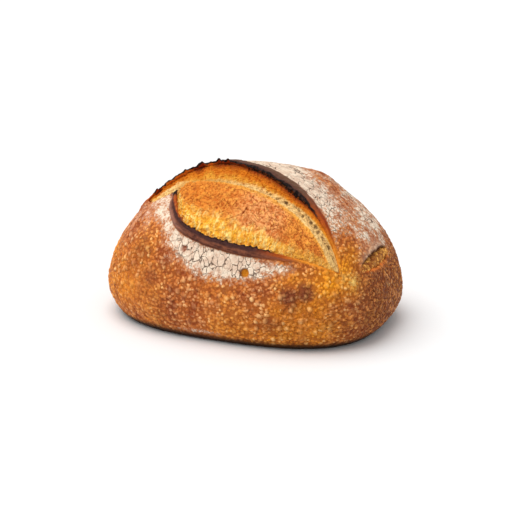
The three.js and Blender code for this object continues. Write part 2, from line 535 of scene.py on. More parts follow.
# the crust, from the foot over the sides and the crown to the torn edges
crustCage = {
    "half": 56,  # sections on each side of the long score
    "foot": [0.5, 0.82],
    "under": 6,
    "side": 14,
    # rings beside the torn edge, in widths of the rolled band
    "rim": [3.6, 2.8, 2.1, 1.6, 1.3, 1.12, 1.0, 0.92, 0.82, 0.66, 0.5, 0.35, 0.2, 0.09, 0.02],
    # back and down under the edge, in thicknesses of the crust
    "edge": [(0, 0.25), (0.25, 0.75), (1.0, 1.15), (2.0, 1.8)],
    "thinnest": 0.22,
    "innerBack": 2,
    "belowGap": 20,  # counts the foot's rings as far from the edge
    "insideStart": [0.2, 0.7],
    "levels": 3,
}


def underRim(t, isFar, x, y, away, back, down):
    thick = score["flap"] * max(float(sizeAt(t, isFar)), crustCage["thinnest"])
    top = float(crustRise(t, isFar, 0.0))
    return raised(x, y, top - down * thick) + away * (back * thick)


def awayFromScore(rim, index, isFar):
    before, after = rim[max(index - 1, 0)], rim[min(index + 1, len(rim) - 1)]
    run = bodyPoint(*after) - bodyPoint(*before)
    away = unit(np.cross(run, bodyNormal(*rim[index])))
    return -away if isFar == (away[1] < 0) else away


def footPoints(start):
    points = [np.array([*start, 0]) * size * body["foot"] for size in crustCage["foot"]]
    for k in range(crustCage["under"]):
        angle = k / crustCage["under"] * math.pi / 2
        size = body["foot"] + (1 - body["foot"]) * math.sin(angle) ** (2 / body["footPower"])
        height = body["widest"] * (1 - math.cos(angle) ** (2 / body["footPower"]))
        points.append(np.array([start[0] * size, start[1] * size, height]))
    return points


# The crust from the widest line up to the torn edge, and how far each ring lies from that edge.
def upperPoints(t, isFar, start, end):
    share = np.linspace(0, 1, fineSteps + 1) ** 2
    lineX, lineY = (start[a] + (end[a] - start[a]) * share for a in (0, 1))
    line = bodyPoint(lineX, lineY)
    walked = wayAlong(line)
    length = walked[-1]
    rim = crustCage["rim"]
    zone = min(rim[0] * rollWidth(t, isFar), length / 2)
    gap = np.concatenate([np.linspace(length, zone, crustCage["side"], endpoint=False),
                          np.array(rim) * zone / rim[0]])
    atX, atY = (np.interp(length - gap, walked, line[:, a]) for a in (0, 1))
    return uneven(raised(atX, atY, crustRise(t, isFar, gap))), gap, length


def crustSections():
    half = crustCage["half"]
    outlines = {True: outlineHalf(score["leftCorner"], half),
                False: outlineHalf(score["leftCorner"] - 2 * math.pi, half)}
    rims = {True: guide(score["ear"], half), False: guide(score["lip"], half)}
    seam = guide(score["seam"], half)
    sections = []
    for i in range(2 * half):
        isFar = i <= half
        index = i if isFar else 2 * half - i
        t = index / half
        start, end = outlines[isFar][index], rims[isFar][index]
        away = awayFromScore(rims[isFar], index, isFar)

        lower = footPoints(start)
        upper, gap, length = upperPoints(t, isFar, start, end)
        edge = [underRim(t, isFar, *end, away, back, down) for back, down in crustCage["edge"]]
        inner = raised(*end, -score["recess"]) + away * crustCage["innerBack"]
        bottom = raised(*seam[index], -score["recess"] - 1)
        torn = uneven(np.array(edge + [inner, (inner + bottom) / 2, bottom]))
        section = np.vstack([lower, upper, torn])
        below = len(lower)
        gaps = np.concatenate([length + crustCage["belowGap"] - np.arange(below), gap, np.zeros(len(torn))])
        startInside = crustCage["insideStart"]
        inside = np.concatenate([np.zeros(below + len(upper)), startInside,
                                 np.ones(len(torn) - len(startInside))])
        sections.append({"points": section, "gap": gaps, "inside": inside,
                         "along": np.full(len(section), t), "far": np.full(len(section), float(isFar))})
    return sections


# A tube of rings, extruded one after the other from a filled circle.
def extrudeRings(name, sections, masks):
    startRadius = 0.05
    deselectAll()
    bpy.ops.mesh.primitive_circle_add(vertices=len(sections), radius=startRadius, fill_type="TRIFAN")
    piece = bpy.context.object
    piece.name = piece.data.name = name
    bpy.ops.object.mode_set(mode="EDIT")
    bpy.ops.mesh.select_mode(type="EDGE")
    cage = bmesh.from_edit_mesh(piece.data)
    number = cage.verts.layers.int.new("number")
    layers = {key: cage.verts.layers.float.new(key) for key in masks}
    rim = [v for v in cage.verts if v.co.length > startRadius / 2]
    rim.sort(key=lambda v: math.atan2(v.co.y, v.co.x))
    for i, v in enumerate(rim):
        v[number] = i
    for edge in cage.edges:
        edge.select_set(edge.is_boundary)
    for k in range(len(sections[0]["points"])):
        if k:
            bpy.ops.mesh.extrude_region_move()
            cage = bmesh.from_edit_mesh(piece.data)
            number = cage.verts.layers.int["number"]
            layers = {key: cage.verts.layers.float[key] for key in masks}
        for v in cage.verts:
            onRim = v.select if k else v.co.length > startRadius / 2
            if not onRim:
                continue
            section = sections[v[number]]
            v.co = Vector(section["points"][k] * mm)
            for key in masks:
                v[layers[key]] = section[key][k]
        bmesh.update_edit_mesh(piece.data)
    bpy.ops.mesh.select_all(action="SELECT")
    bpy.ops.mesh.remove_doubles(threshold=1e-6)
    bpy.ops.mesh.normals_make_consistent(inside=False)
    bpy.ops.object.mode_set(mode="OBJECT")
    return piece


crust = extrudeRings("crust", crustSections(), ("gap", "inside", "along", "far"))
print("crust cage", len(crust.data.vertices), "points")
applyModifier(crust, "SUBSURF", levels=crustCage["levels"], render_levels=crustCage["levels"])
print("crust subdivided", len(crust.data.polygons), "faces")

# the torn edges: spans and amounts in millimetres
tears = {
    "zone": (0.3, 4.5),  # how far from the edge it is ragged
    "insideFrom": 0.9,
    "insideShare": 0.6,
    "skinward": 0.7,  # how much of the push across the skin is taken out
    "lipLeast": 0.25,
    "raggedFrom": (0.48, 0.6),  # the ear tears finer towards its left end
    "raggedLeast": 0.35,
    # steps to the full way, seed, height and shift
    "earRipples": [(70, 1, 0.7, 0), (170, 2, 0.5, 0)],
    "lipRipple": (52, 6, 0.5),
    "earPush": 1.1,
    "lipPush": 1.15,
    "brink": (0.1, 2.2),
    "lipTeeth": [(40, 6, 3.4, 0), (97, 7, 1.2, 0.3)],
    "lipTeethDown": 1.1,
    "lipTeethUp": 0.5,
    "earTeeth": [(58, 8, 1.2, 0), (120, 9, 0.7, 0)],
    "earLifts": [(60, 3, 0.5, 0), (150, 4, 0.45, 0)],
    # knobs burnt on the ear: share of the way along it, and height
    "knobs": [(0.63, 1.9), (0.675, 2.2), (0.655, 0.8), (0.755, 1.8), (0.77, 1.0), (0.83, 1.2), (0.855, 0.7),
              (0.905, 1.0), (0.955, 3.4), (0.6, 0.7)],
    "knobWidth": 0.0085,
}

# the small second score across the right end
endScore = {
    "middle": (104.8, -12, 62.4),
    "front": (99.2, -36, 62.0),
    "back": (104, 14, 64.4),
    "reach": 14,  # crust further than this from its plane isn't part of it
    "halfWidth": 7.8,
    "depth": 5.2,
    # the rest is in half widths across it, from the lower edge at -1 to the upper at 1
    "leafEnds": (0.02, 0.3),
    "hollow": [(-1.05, -0.75), (0.8, 1.0)],
    "bulge": (-0.2, 0.66, 0.88),  # middle, width and how far it fills the hollow
    "flapFrom": 0.9,
    "flapRises": (0.82, 1.0),
    "flapLift": 2.4,
    "flapFade": 6,
    "flapSlide": 5,
    "lowRim": (-1.12, 1.6, 0.7),  # place, width and height
    "inside": [(-1.1, -0.85), (0.92, 1.02)],
    "shade": [(0.15, 0.55), (0.98, 1.05)],
    "edge": (-0.98, 0.6),
    "edgeFade": (0, 0.7, 0.6),
    "flapTop": (0.95, 1.05),
    "flapTopFade": 3.0,
}

# burst blisters: place, radius and depth
bursts = {"bubble": ((22, -75.5, 60), 3.9, 2.4), "scar": ((-30, -70, 71), 2.8, 0.8)}
burstLook = {
    "pit": (0.72, 1.02),  # in radii
    "ring": (1.15, 0.22, 0.35),  # place and width in radii, and height
    "bubbleIn": (3.0, 4.0),
    # painted shade in a ring round the bubble
    "bubbleRim": (3.5, 0.55),
    "rimSide": (-2, 2),  # the rim's shade lies on its upper left
    "scarIn": (1.4, 3.6),
}


def tearEdges(points, normals, moved, along, gap, far, inside):
    edge = (1 - smooth(gap, *tears["zone"])) * np.where(inside > tears["insideFrom"], tears["insideShare"], 1)
    back = np.zeros_like(points)
    back[:, 1] = np.where(far > 0.5, 1, -1)
    back = unit(back - normals * np.sum(back * normals, 1)[:, None] * tears["skinward"])
    earShare = far * earSize(along)
    lipShare = (1 - far) * np.maximum(lipSize(along), tears["lipLeast"])
    least = tears["raggedLeast"]
    ragged = least + (1 - least) * smooth(along, *tears["raggedFrom"])
    earRag = jagged(ripple, along, tears["earRipples"], ragged)
    steps, seed, height = tears["lipRipple"]
    lipRag = ripple(along * steps, seed) * height
    push = tears["earPush"] * earRag * earShare + tears["lipPush"] * lipRag * lipShare
    moved += back * (edge * push)[:, None]

    seam = guide(score["seam"], fineSteps)
    walk = np.linspace(0, 1, fineSteps + 1)
    inward = np.stack([np.interp(along, walk, seam[:, k]) for k in (0, 1)], -1) - points[:, :2]
    inward = unit(np.column_stack([inward, np.zeros(len(points))]))
    brink = 1 - smooth(gap, *tears["brink"])
    bite = jagged(teeth, along, tears["lipTeeth"]) - tears["lipTeethDown"]
    earBite = jagged(teeth, along, tears["earTeeth"]) * ragged
    moved += inward * (brink * (bite * (1 - far) * lipSize(along) + earBite * earShare))[:, None]
    moved[:, 2] += brink * (1 - far) * lipSize(along) * np.maximum(bite, 0) * tears["lipTeethUp"]
    lift = jagged(ripple, along, tears["earLifts"], ragged)
    for at, size in tears["knobs"]:
        lift = lift + size * hill(along, at, tears["knobWidth"])
    moved[:, 2] += edge * earShare * lift


# Where a point lies in the small score: along it from -1 to 1, and across it in millimetres.
def endScorePlace(points):
    middle, front, back = (np.array(endScore[key]) for key in ("middle", "front", "back"))
    run = unit(back - front)
    out = bodyNormal(middle[0], middle[1])
    out = unit(out - run * np.dot(out, run))
    across = np.cross(out, run)
    across = across if across[2] > 0 else -across
    reach = points - middle
    length = np.linalg.norm(back - front) / 2
    onSurface = np.abs(reach @ out) < endScore["reach"]
    return reach @ run / length, reach @ across, onSurface, out, across


# A lifted flap above, a hollow under it and a bulge of crumb in the hollow. Gives the score's masks.
def openEndScore(points, moved):
    look = endScore
    run, across, near, out, up = endScorePlace(points)
    leaf = np.sqrt(np.clip(1 - run**2, 0, 1))
    half = look["halfWidth"] * np.maximum(leaf, 0.05)
    share = across / half
    above = np.clip((share - 1) * half, 0, 99)
    zone = near * smooth(leaf, *look["leafEnds"])

    def within(spans, weight=1):
        return weight * smooth(share, *spans[0]) * (1 - smooth(share, *spans[1]))

    middle, width, fill = look["bulge"]
    depth = look["depth"] * leaf * within(look["hollow"]) * (1 - fill * hill(share, middle, width))
    flap = np.where(share > look["flapFrom"], np.exp(-above / look["flapFade"]), 0)
    flap = flap * smooth(share, *look["flapRises"])
    place, width, height = look["lowRim"]
    low = hill((share - place) * half, 0, width)
    rise = look["flapLift"] * leaf * flap + height * leaf * low - depth
    moved += out * (zone * rise)[:, None]
    moved -= up * (zone * leaf * flap * (across < half + look["flapSlide"]))[:, None]

    place, width = look["edge"]
    fadeStart, fadeEnd, fade = look["edgeFade"]
    edge = zone * hill((share - place) * half, 0, width) * smooth(leaf, 0.1, 0.5)
    return {
        "scoreInside": within(look["inside"], zone),
        "scoreShade": within(look["shade"], zone) * smooth(leaf, 0, 0.5),
        "scoreEdge": edge * (1 - fade * smooth(run, fadeStart, fadeEnd)),
        "flapTop": zone * smooth(share, *look["flapTop"]) * np.exp(-above / look["flapTopFade"]) * leaf,
    }


def burstBlisters(points, normals, moved):
    look = burstLook
    ringPlace, ringWidth, ringHeight = look["ring"]
    gaps = {}
    for key, (place, radius, depth) in bursts.items():
        gaps[key] = distance(points, place)
        share = gaps[key] / radius
        pit = 1 - smooth(share, *look["pit"])
        moved -= normals * (pit * depth - hill(share, ringPlace, ringWidth) * ringHeight)[:, None]
    side = points - np.array(bursts["bubble"][0])
    rimSide = smooth(side[:, 2] - side[:, 0], *look["rimSide"])
    return {
        "bubble": 1 - smooth(gaps["bubble"], *look["bubbleIn"]),
        # painted shade on the upper left of the bubble's rim
        "bubbleRim": hill(gaps["bubble"], *look["bubbleRim"]) * rimSide,
        "scar": 1 - smooth(gaps["scar"], *look["scarIn"]),
    }


# where the oven and the flour left their marks: place, radius, strength
crustZones = {
    "dark": [((20, 78, 56), 16, 0.55), ((-62, 66, 60), 13, 0.6), ((84, 56, 34), 15, 0.5),
             ((-104, 20, 66), 11, 0.55), ((60, -74, 38), 10, 0.45), ((69, -70, 48), 8, 0.85),
             ((57, -72, 45), 9, 0.85), ((44, -79, 23), 11, 0.52), ((-16, -74, 56), 9, 0.45),
             ((-45, -73, 59), 9, 0.5), ((-57, -73, 47), 11, 0.5), ((-78, -64, 50), 9, 0.4),
             ((-68, -64, 64), 13, 0.5), ((57, -68, 66), 6, 0.55), ((80, -60, 36), 12, 0.3),
             ((30, -79, 40), 14, 0.2), ((86, -24, 84), 10, 0.3), ((90, 0, 82), 9, 0.35),
             ((62, -72, 54), 10, 0.35), ((-95, -45, 62), 12, 0.3)],
    "gold": [((60, 76, 40), 24, 0.5), ((-40, 78, 26), 30, 0.45), ((-110, 0, 50), 22, 0.5),
             ((85, -59, 54), 14, 1.0), ((97, -49, 52), 10, 1.0), ((92, -47, 63), 12, 1.0),
             ((99, -45, 53), 6, 1.0), ((75, -64, 36), 13, 0.7), ((66, -73, 35), 9, 0.6),
             ((94, -36, 70), 8, 0.8), ((60, -70, 60), 8, 0.5), ((52, -79, 12), 22, 0.6),
             ((81, -70, 17), 20, 0.6), ((50, -78, 30), 11, 0.55), ((20, -81, 10), 20, 0.4),
             ((-100, -20, 40), 26, 0.6), ((-88, -60, 30), 26, 0.35), ((-69, -65, 59), 12, 0.3)],
    "bare": [((43, 28, 110), 9, 0.72), ((47, 13, 113), 8, 0.6), ((84, -26, 85), 10, 0.5),
             ((89, -34, 76), 12, 1.0), ((98, -36, 66), 14, 1.0), ((74, 8, 98), 10, 0.45),
             ((82, -8, 90), 9, 0.45), ((88, -42, 68), 12, 1.0), ((60, 16, 105), 9, 0.6)],
    "dusted": [((91, 19, 80), 12, 0.8), ((86, 16, 88), 10, 0.8), ((101, 12, 70), 9, 0.62),
               ((95, -8, 78), 9, 0.55), ((-50, -48, 92), 13, 0.55), ((-44, -62, 82), 9, 0.2),
               ((-43, -67, 73), 8, 0.5), ((-40, -70, 66), 7, 0.45), ((-66, -36, 88), 9, 0.5)],
    "pink": [((-84, -30, 76), 16, 0.7), ((-70, -41, 85), 12, 0.8)],
    "pale": [((98, -47, 54), 5, 0.8), ((93, -52, 57), 6, 0.3)],
    "wrinkled": [((112, -20, 40), 34, 1.0), ((100, 30, 40), 40, 1.0), ((80, -66, 24), 26, 0.35),
                 ((85, 60, 40), 40, 0.9), ((0, 80, 30), 50, 0.5)],
    "bold": [((66, -74, 34), 26, 1.0), ((88, -56, 50), 18, 0.7), ((36, -79, 24), 20, 0.7),
             ((-10, -78, 40), 26, 0.3), ((-84, -60, 50), 34, 0.85), ((60, 70, 40), 30, 0.7),
             ((-50, 76, 36), 26, 0.6)],
    "creased": [((60, -76, 16), 24, 0.6), ((90, -60, 20), 24, 0.75), ((20, -80, 12), 24, 0.5),
                ((-50, -76, 14), 26, 0.6), ((108, -30, 24), 24, 0.7), ((40, 78, 16), 60, 0.6),
                ((-100, 30, 18), 50, 0.6)],
    "calmBlisters": [((-70, -70, 14), 40, 0.4), ((-10, -80, 12), 40, 0.3), ((100, -40, 20), 24, 0.2)],
}

# how the flour lies, in shares of the way along the score and in millimetres
flourLook = {
    # how far below the lip's edge the band of flour reaches, and how thick it lies
    "bandReach": [(0.0, 0), (0.13, 0), (0.16, 11), (0.2, 17), (0.26, 23), (0.36, 32), (0.5, 36), (0.6, 32),
                  (0.68, 23), (0.74, 23), (0.8, 30), (0.86, 27), (0.92, 18), (1.0, 8)],
    "bandDepth": [(0.0, 0.0), (0.14, 0.45), (0.165, 0.5), (0.24, 0.64), (0.33, 0.82), (0.42, 0.9),
                  (0.58, 0.8), (0.67, 0.74), (0.75, 0.66), (0.82, 0.56), (0.93, 0.5), (1.0, 0.3)],
    "bandEdge": (-15, 6),  # about its reach
    "bandShows": (2, 10),
    "besideLip": [(0.22, 0.3), (0.38, 0.8)],  # what is left of it right below the lip
    "bareBelow": [(0.22, 2), (0.38, 0.5)],
    "bareFade": 3.5,
    "besideEar": (8, 34),
    "besideEarFrom": (0.16, 0.3),
    "crownRise": (62, 96),
    "crownTilt": 0.12,
    "crownLeast": 0.62,
    "crownEnds": (0.9, 0.98),
    "crownBack": (30, 78, 0.4),  # the last number is how much of it goes
    "crownRight": (20, 60, 0.16),
    "pinkShare": 0.5,
    "sole": ((-16, 8.5), 24, 2.2, 0.44),  # line over the sole: its x and z, half length, half height, depth
    "cracksEnd": (0.58, 0.7, 0.75),
}

# how the torn edges burnt
burnLook = {
    # how black the edge of the ear is along its way
    "char": [(0, 0), (0.06, 0), (0.13, 0.3), (0.18, 0.7), (0.22, 1.05), (0.26, 1.25), (0.31, 1.25),
             (0.37, 1.0), (0.5, 1), (0.56, 0.8), (0.62, 0.85), (0.69, 0.8), (0.715, 0.35), (0.745, 0.5),
             (0.765, 1), (0.79, 0.9), (0.81, 0.35), (0.86, 0.35), (0.9, 0.25), (0.93, 0.2), (0.945, 1),
             (0.965, 0.9), (0.975, 0), (1, 0)],
    # how wide it is burnt, in widths of the rolled band
    "wide": [(0.1, 0.22), (0.22, 0.36), (0.3, 0.38), (0.4, 0.28), (0.5, 0.28), (0.7, 0.22), (1, 0.14)],
    "swing": (34, 12, 0.3),  # steps, seed and amount of its unevenness
    "fullShare": 0.35,
    "lip": (0.1, 1.7),
    "lipFrom": (0.22, 0.3),
    "hook": (1.6, 3.6),
    "hookFrom": (0.785, 0.81),
    "emberEar": (0.13, 0.29),  # where the edges are glowing brown and not yet black
    "emberLip": (0.21, 0.36),
    "emberEarEnd": (0.955, 0.98),
    "emberLipEnd": (0.01, 0.04),
    "edge": (0.2, 1.2),
    "earBand": (-1.3, 0.8),  # about the roll's width
    "earBandOn": (0.0, 0.04),
    "earBandEnds": (0.95, 0.975, 0.6),
    "lipBand": (-0.9, 0.6),
    "lipBandOn": (0.03, 0.1),
    "lipBandEnds": (0, 0.025),  # about the lip's end
    "innerLip": [(0.64, 0), (0.7, 1.4), (0.79, 2.8), (0.82, 2.0)],
    "innerLipFrom": (0.64, 0.7),
    "innerLipEnds": (0.795, 0.81),
    "innerLipEdge": (-0.9, 0.3),
    "tipEar": (0.02, 0.15),
    "tipLip": (0.12, 0.24),
}

# the rest of the skin's masks
skinZones = {
    "brownRight": (86, 112),
    "brownBelow": (66, 90),
    "wrinkledRight": (90, 112),
    "calmSole": (1.0, 7),
    "calmFlour": 0.8,
    "calmWrinkles": 0.3,
    # the lowest band of the crust: no relief there, and the painted contact shadow
    "underside": (2.6, 9.6),
    "flowLength": 190,  # length of the score, for patterns that run along it
    "flowApart": 40,
    "underFar": 1.0,
    "underNear": 1.5,
}


# From a low to a high place that lie on either side of a moving one.
def about(value, place, steps):
    return smooth(value, place + steps[0], place + steps[1])


def flourOn(points, along, gap, far, lipWide, earWide):
    x, y, z = points.T
    look, near = flourLook, 1 - far
    limit, depth = curve(along, look["bandReach"]), curve(along, look["bandDepth"])
    bandFlour = near * depth * (1 - about(gap, limit, look["bandEdge"])) * smooth(limit, *look["bandShows"])
    besideLip, bareBelow = curve(along, look["besideLip"]), curve(along, look["bareBelow"])
    bare = smooth(gap, lipWide + bareBelow, lipWide + look["bareFade"] + bareBelow)
    bandFlour *= besideLip + (1 - besideLip) * bare
    besideEar = (1 - about(gap, earWide, look["besideEar"])) * smooth(along, *look["besideEarFrom"])
    least = look["crownLeast"]
    crown = far * smooth(z + look["crownTilt"] * x, *look["crownRise"]) * (least + (1 - least) * besideEar)
    crown = crown * (1 - smooth(along, *look["crownEnds"]))
    backStart, backEnd, backGone = look["crownBack"]
    rightStart, rightEnd, rightGone = look["crownRight"]
    backLeft = 1 - backGone * smooth(y, backStart, backEnd)
    rightLeft = 1 - rightGone * smooth(x, rightStart, rightEnd)
    crown *= backLeft * rightLeft
    flour = np.maximum(bandFlour, crown) * (1 - spots(points, crustZones["bare"]))
    dusted, pink = spots(points, crustZones["dusted"]), spots(points, crustZones["pink"])
    flour = np.maximum(flour, np.maximum(dusted, look["pinkShare"] * pink))
    (middleX, middleZ), reach, tall, depth = look["sole"]
    sole = np.exp(-(((x - middleX) / reach) ** 2) - ((z - middleZ) / tall) ** 2) * (y < 0)
    return np.maximum(flour, depth * sole)


# The rolled bands and what is burnt on them.
def burnOn(along, gap, far, lipWide, earWide):
    look, near, end = burnLook, 1 - far, score["lipEnd"]
    bandStart, bandEnd, bandFade = look["earBandEnds"]
    earOn = smooth(along, *look["earBandOn"]) * (1 - bandFade * smooth(along, bandStart, bandEnd))
    lipOn = smooth(along, *look["lipBandOn"]) * (1 - about(along, end, look["lipBandEnds"]))
    earBand = far * (1 - about(gap, earWide, look["earBand"])) * earOn
    lipBand = near * (1 - about(gap, lipWide, look["lipBand"])) * lipOn
    steps, seed, amount = look["swing"]
    burnWide = earWide * curve(along, look["wide"]) * (1 + amount * ripple(along * steps, seed))
    char = curve(along, look["char"])
    earBurn = far * (1 - smooth(gap, burnWide * look["fullShare"], burnWide)) * char
    lipBurn = near * (1 - smooth(gap, *look["lip"])) * smooth(along, *look["lipFrom"]) * lipOn
    hook = near * (1 - smooth(gap, *look["hook"])) * smooth(along, *look["hookFrom"]) * lipOn
    embers = [far * (1 - smooth(along, *look["emberEar"])), near * (1 - smooth(along, *look["emberLip"])),
              far * smooth(along, *look["emberEarEnd"]), near * about(along, end, look["emberLipEnd"])]
    inner = near * smooth(along, *look["innerLipFrom"]) * (1 - smooth(along, *look["innerLipEnds"]))
    inner = inner * (1 - about(gap, curve(along, look["innerLip"]), look["innerLipEdge"]))
    return {
        "band": np.maximum(earBand, lipBand),
        "burn": np.maximum(np.maximum(earBurn, lipBurn), hook),
        "ember": np.maximum.reduce(embers),
        "char": np.where(far > 0.5, char, 1),
        "innerLip": inner,
        "tip": np.where(far > 0.5, 1 - smooth(along, *look["tipEar"]), 1 - smooth(along, *look["tipLip"])),
    }


def skinMasks(points, along, gap, far, inside):
    x, y, z = points.T
    look = skinZones
    earWide, lipWide = rollWidth(along, True), rollWidth(along, False)
    flour = flourOn(points, along, gap, far, lipWide, earWide)
    masks = burnOn(along, gap, far, lipWide, earWide)
    offBand = 1 - masks["band"]
    edge = np.maximum(inside, 1 - smooth(gap, *burnLook["edge"]))
    wrinkled = np.maximum(spots(points, crustZones["wrinkled"]), smooth(x, *look["wrinkledRight"]))
    wrinkled = wrinkled * offBand * (1 - flour)
    calm = offBand * (1 - edge) * smooth(z, *look["calmSole"]) * (1 - look["calmFlour"] * flour)
    calm = calm * (1 - look["calmWrinkles"] * wrinkled) * (1 - spots(points, crustZones["calmBlisters"]))
    crackStart, crackEnd, crackFade = flourLook["cracksEnd"]
    masks.update({key: spots(points, crustZones[key]) for key in ("dark", "gold", "pink", "pale", "bold")})
    return masks | {
        "under": np.maximum(inside, 0) * np.where(far > 0.5, look["underFar"], look["underNear"]),
        "creased": spots(points, crustZones["creased"]) * offBand * (1 - flour),
        "flour": np.clip(flour * offBand, 0, 1),
        "cracked": np.where(far > 0.5, 1, 1 - crackFade * smooth(along, crackStart, crackEnd)),
        "rollShare": np.where(far > 0.5, gap / earWide, gap / lipWide).clip(0, 1.2),
        "ear": far,
        "edge": edge,
        "brown": smooth(x, *look["brownRight"]) * (1 - smooth(z, *look["brownBelow"])),
        "wrinkled": wrinkled,
        "blistered": calm,
        # the lowest band, where the relief stops and the contact shadow is painted
        "underside": 1 - smooth(z, *look["underside"]),
    }


def shapeCrust(piece):
    points, normals = readPoints(piece), readVectors(piece, "normal")
    along, gap, far, inside = (readMask(piece, key) for key in ("along", "gap", "far", "inside"))
    moved = points.copy()
    tearEdges(points, normals, moved, along, gap, far, inside)
    masks = openEndScore(points, moved) | burstBlisters(points, normals, moved)
    writePoints(piece, moved)
    storeMasks(piece, masks | skinMasks(points, along, gap, far, inside))
    storePlace(piece, "place", points)
    flow = [along * skinZones["flowLength"], gap, far * skinZones["flowApart"]]
    storePlace(piece, "flow", np.stack(flow, -1))


shapeCrust(crust)
print("crust shaped")


# Relief by geometry nodes: every point moves along its normal by a height in millimetres.
def reliefModifier(piece, name, fill):
    tree = bpy.data.node_groups.new(name, "GeometryNodeTree")
    for side in ("INPUT", "OUTPUT"):
        tree.interface.new_socket(name="Geometry", in_out=side, socket_type="NodeSocketGeometry")
    entry = addNode(tree, "NodeGroupInput")
    leave = addNode(tree, "NodeGroupOutput")
    normal = Value(tree, addNode(tree, "GeometryNodeInputNormal").outputs[0])
    push = worked("ShaderNodeVectorMath", 0, {0: normal, "Scale": fill(tree) * mm}, operation="SCALE")
    shape = Value(tree, entry.outputs[0])
    plug(worked("GeometryNodeSetPosition", 0, {"Geometry": shape, "Offset": push}), leave.inputs[0])
    pick(piece)
    modifier = piece.modifiers.new(name, "NODES")
    modifier.node_group = tree
    bpy.ops.object.modifier_apply(modifier=modifier.name)


# heights in millimetres, and the sizes of the noise they come from
crustRelief = {
    "blister": 0.8, "boldBlister": 1.5, "wrinkle": 0.75, "crease": 0.8, "crack": 0.4, "score": 2.2,
    "lumps": 1.8, "lumpSize": 17.0,
    "grain": 0.16, "grainSize": 1.6,
    "roll": 1.6, "rollSize": 4.0,
}


def crustHeight(tree):
    place, mask, look = stored(tree, "place", True), masksOn(tree), crustRelief
    standing = 1 - mask("underside")
    lump, grain, roll = (noise(place, look[key]) - 0.5 for key in ("lumpSize", "grainSize", "rollSize"))
    bold = between(mask("bold"), 1.0, look["boldBlister"])
    height = blisterPattern(place)[0] * mask("blistered") * bold * look["blister"]
    height = height + wrinklePattern(place) * mask("wrinkled") * standing * look["wrinkle"]
    height = height + creasePattern(place) * mask("creased") * standing * look["crease"]
    height = height - crackPattern(place) * mask("flour") * mask("cracked") * look["crack"]
    height = height + lump * (1 - mask("edge")) * standing * look["lumps"]
    height = height + grain * standing * look["grain"]
    height = height + roll * mask("band") * look["roll"]
    return height + tornPattern(place) * mask("scoreInside") * look["score"]


reliefModifier(crust, "crustRelief", crustHeight)
print("crust relief")


# the crumb: torn wall under the ear, seam, and the bulge up to the lip
crumbCage = {
    "columns": 56,
    "wall": 6,
    "belly": 9,
    "levels": 3,
    "thick": 12,
    "taper": 0.6,  # power of its fading to both tips
    "sunk": 0.5,
    "wallTop": (0.35, 1.2),  # back and down under the ear, in thicknesses of the crust
    "underEar": [(2.2, 2.2), (1.4, 1.45)],
    "underLip": [(1.3, 1.3), (2.4, 2.2)],
    "sagFrom": (0.2, 0.45),
    "lipLeast": 0.2,
    "underFlap": 0.55,
    "roundness": 0.7,
    "tucked": 0.05,  # how the rows under the crust are numbered past -1 and 1
    "hiddenFrom": (1.02, 1.1),
}


def tornLine(t, index, rims, seam):
    look = crumbCage
    taper = math.sin(math.pi * t) ** look["taper"] if 0 < t < 1 else 0
    result = []
    ear, lip, low = rims[True][index], rims[False][index], seam[index]
    away = awayFromScore(rims[True], index, True)
    bottom = raised(*low, -score["seamDepth"] * taper - look["sunk"])
    wallTop = underRim(t, True, *ear, away, *look["wallTop"])
    out = bodyNormal(*ear)
    for back, down in look["underEar"]:
        result.append((underRim(t, True, *ear, away, back, down), -1.0 - look["tucked"] * back))
    for k in range(look["wall"]):
        share = k / look["wall"]
        sag = score["wallSag"] * taper * float(smooth(t, *look["sagFrom"])) * math.sin(math.pi * share)
        result.append((wallTop * (1 - share) + bottom * share - out * sag, share - 1))
    result.append((bottom, 0.0))
    size = max(float(lipSize(t)), look["lipLeast"])
    for k in range(1, look["belly"] + 1):
        share = k / look["belly"]
        crest = max(math.sin(math.pi * share), 0) ** look["roundness"]
        valley = -score["seamDepth"] * taper * (1 - share)
        valley = valley - score["flap"] * look["underFlap"] * size * share - look["sunk"]
        height = valley + (score["bellyRise"] * taper - valley) * crest
        x, y = (low[a] + (lip[a] - low[a]) * share for a in (0, 1))
        result.append((raised(x, y, height), share))
    away = awayFromScore(rims[False], index, False)
    for back, down in look["underLip"]:
        result.append((underRim(t, False, *lip, away, back, down), 1.0 + look["tucked"] * back))
    return result


# A grid whose rows are put on the torn lines; its underside is a copy of the top, pushed in.
def makeCrumb():
    columns = crumbCage["columns"]
    rims = {True: guide(score["ear"], columns), False: guide(score["lip"], columns)}
    seam = guide(score["seam"], columns)
    lines = [tornLine(i / columns, i, rims, seam) for i in range(columns + 1)]
    across = len(lines[0])
    deselectAll()
    bpy.ops.mesh.primitive_grid_add(x_subdivisions=columns, y_subdivisions=across - 1, size=0.1)
    piece = bpy.context.object
    piece.name = piece.data.name = "crumb"
    vertices = piece.data.vertices
    order = sorted(range(len(vertices)), key=lambda n: [round(share, 5) for share in vertices[n].co.xy])
    points = np.zeros((len(vertices), 3))
    along, side = np.zeros(len(vertices)), np.zeros(len(vertices))
    for place, n in enumerate(order):
        i, k = divmod(place, across)
        points[n], side[n] = lines[i][k]
        along[n] = i / columns
    writePoints(piece, uneven(points))
    storeMasks(piece, {"along": along, "side": side})
    bpy.ops.object.mode_set(mode="EDIT")
    bpy.ops.mesh.select_all(action="SELECT")
    bpy.ops.mesh.normals_make_consistent(inside=False)
    if sum(face.normal.z for face in bmesh.from_edit_mesh(piece.data).faces) < 0:
        bpy.ops.mesh.flip_normals()
    bpy.ops.object.mode_set(mode="OBJECT")
    applyModifier(piece, "SOLIDIFY", thickness=crumbCage["thick"] * mm, offset=-1.0, use_even_offset=False)
    side = readMask(piece, "side")
    top = np.arange(len(side)) < len(along)
    storeMasks(piece, {"top": top * (1 - smooth(np.abs(side), *crumbCage["hiddenFrom"]))})
    return piece


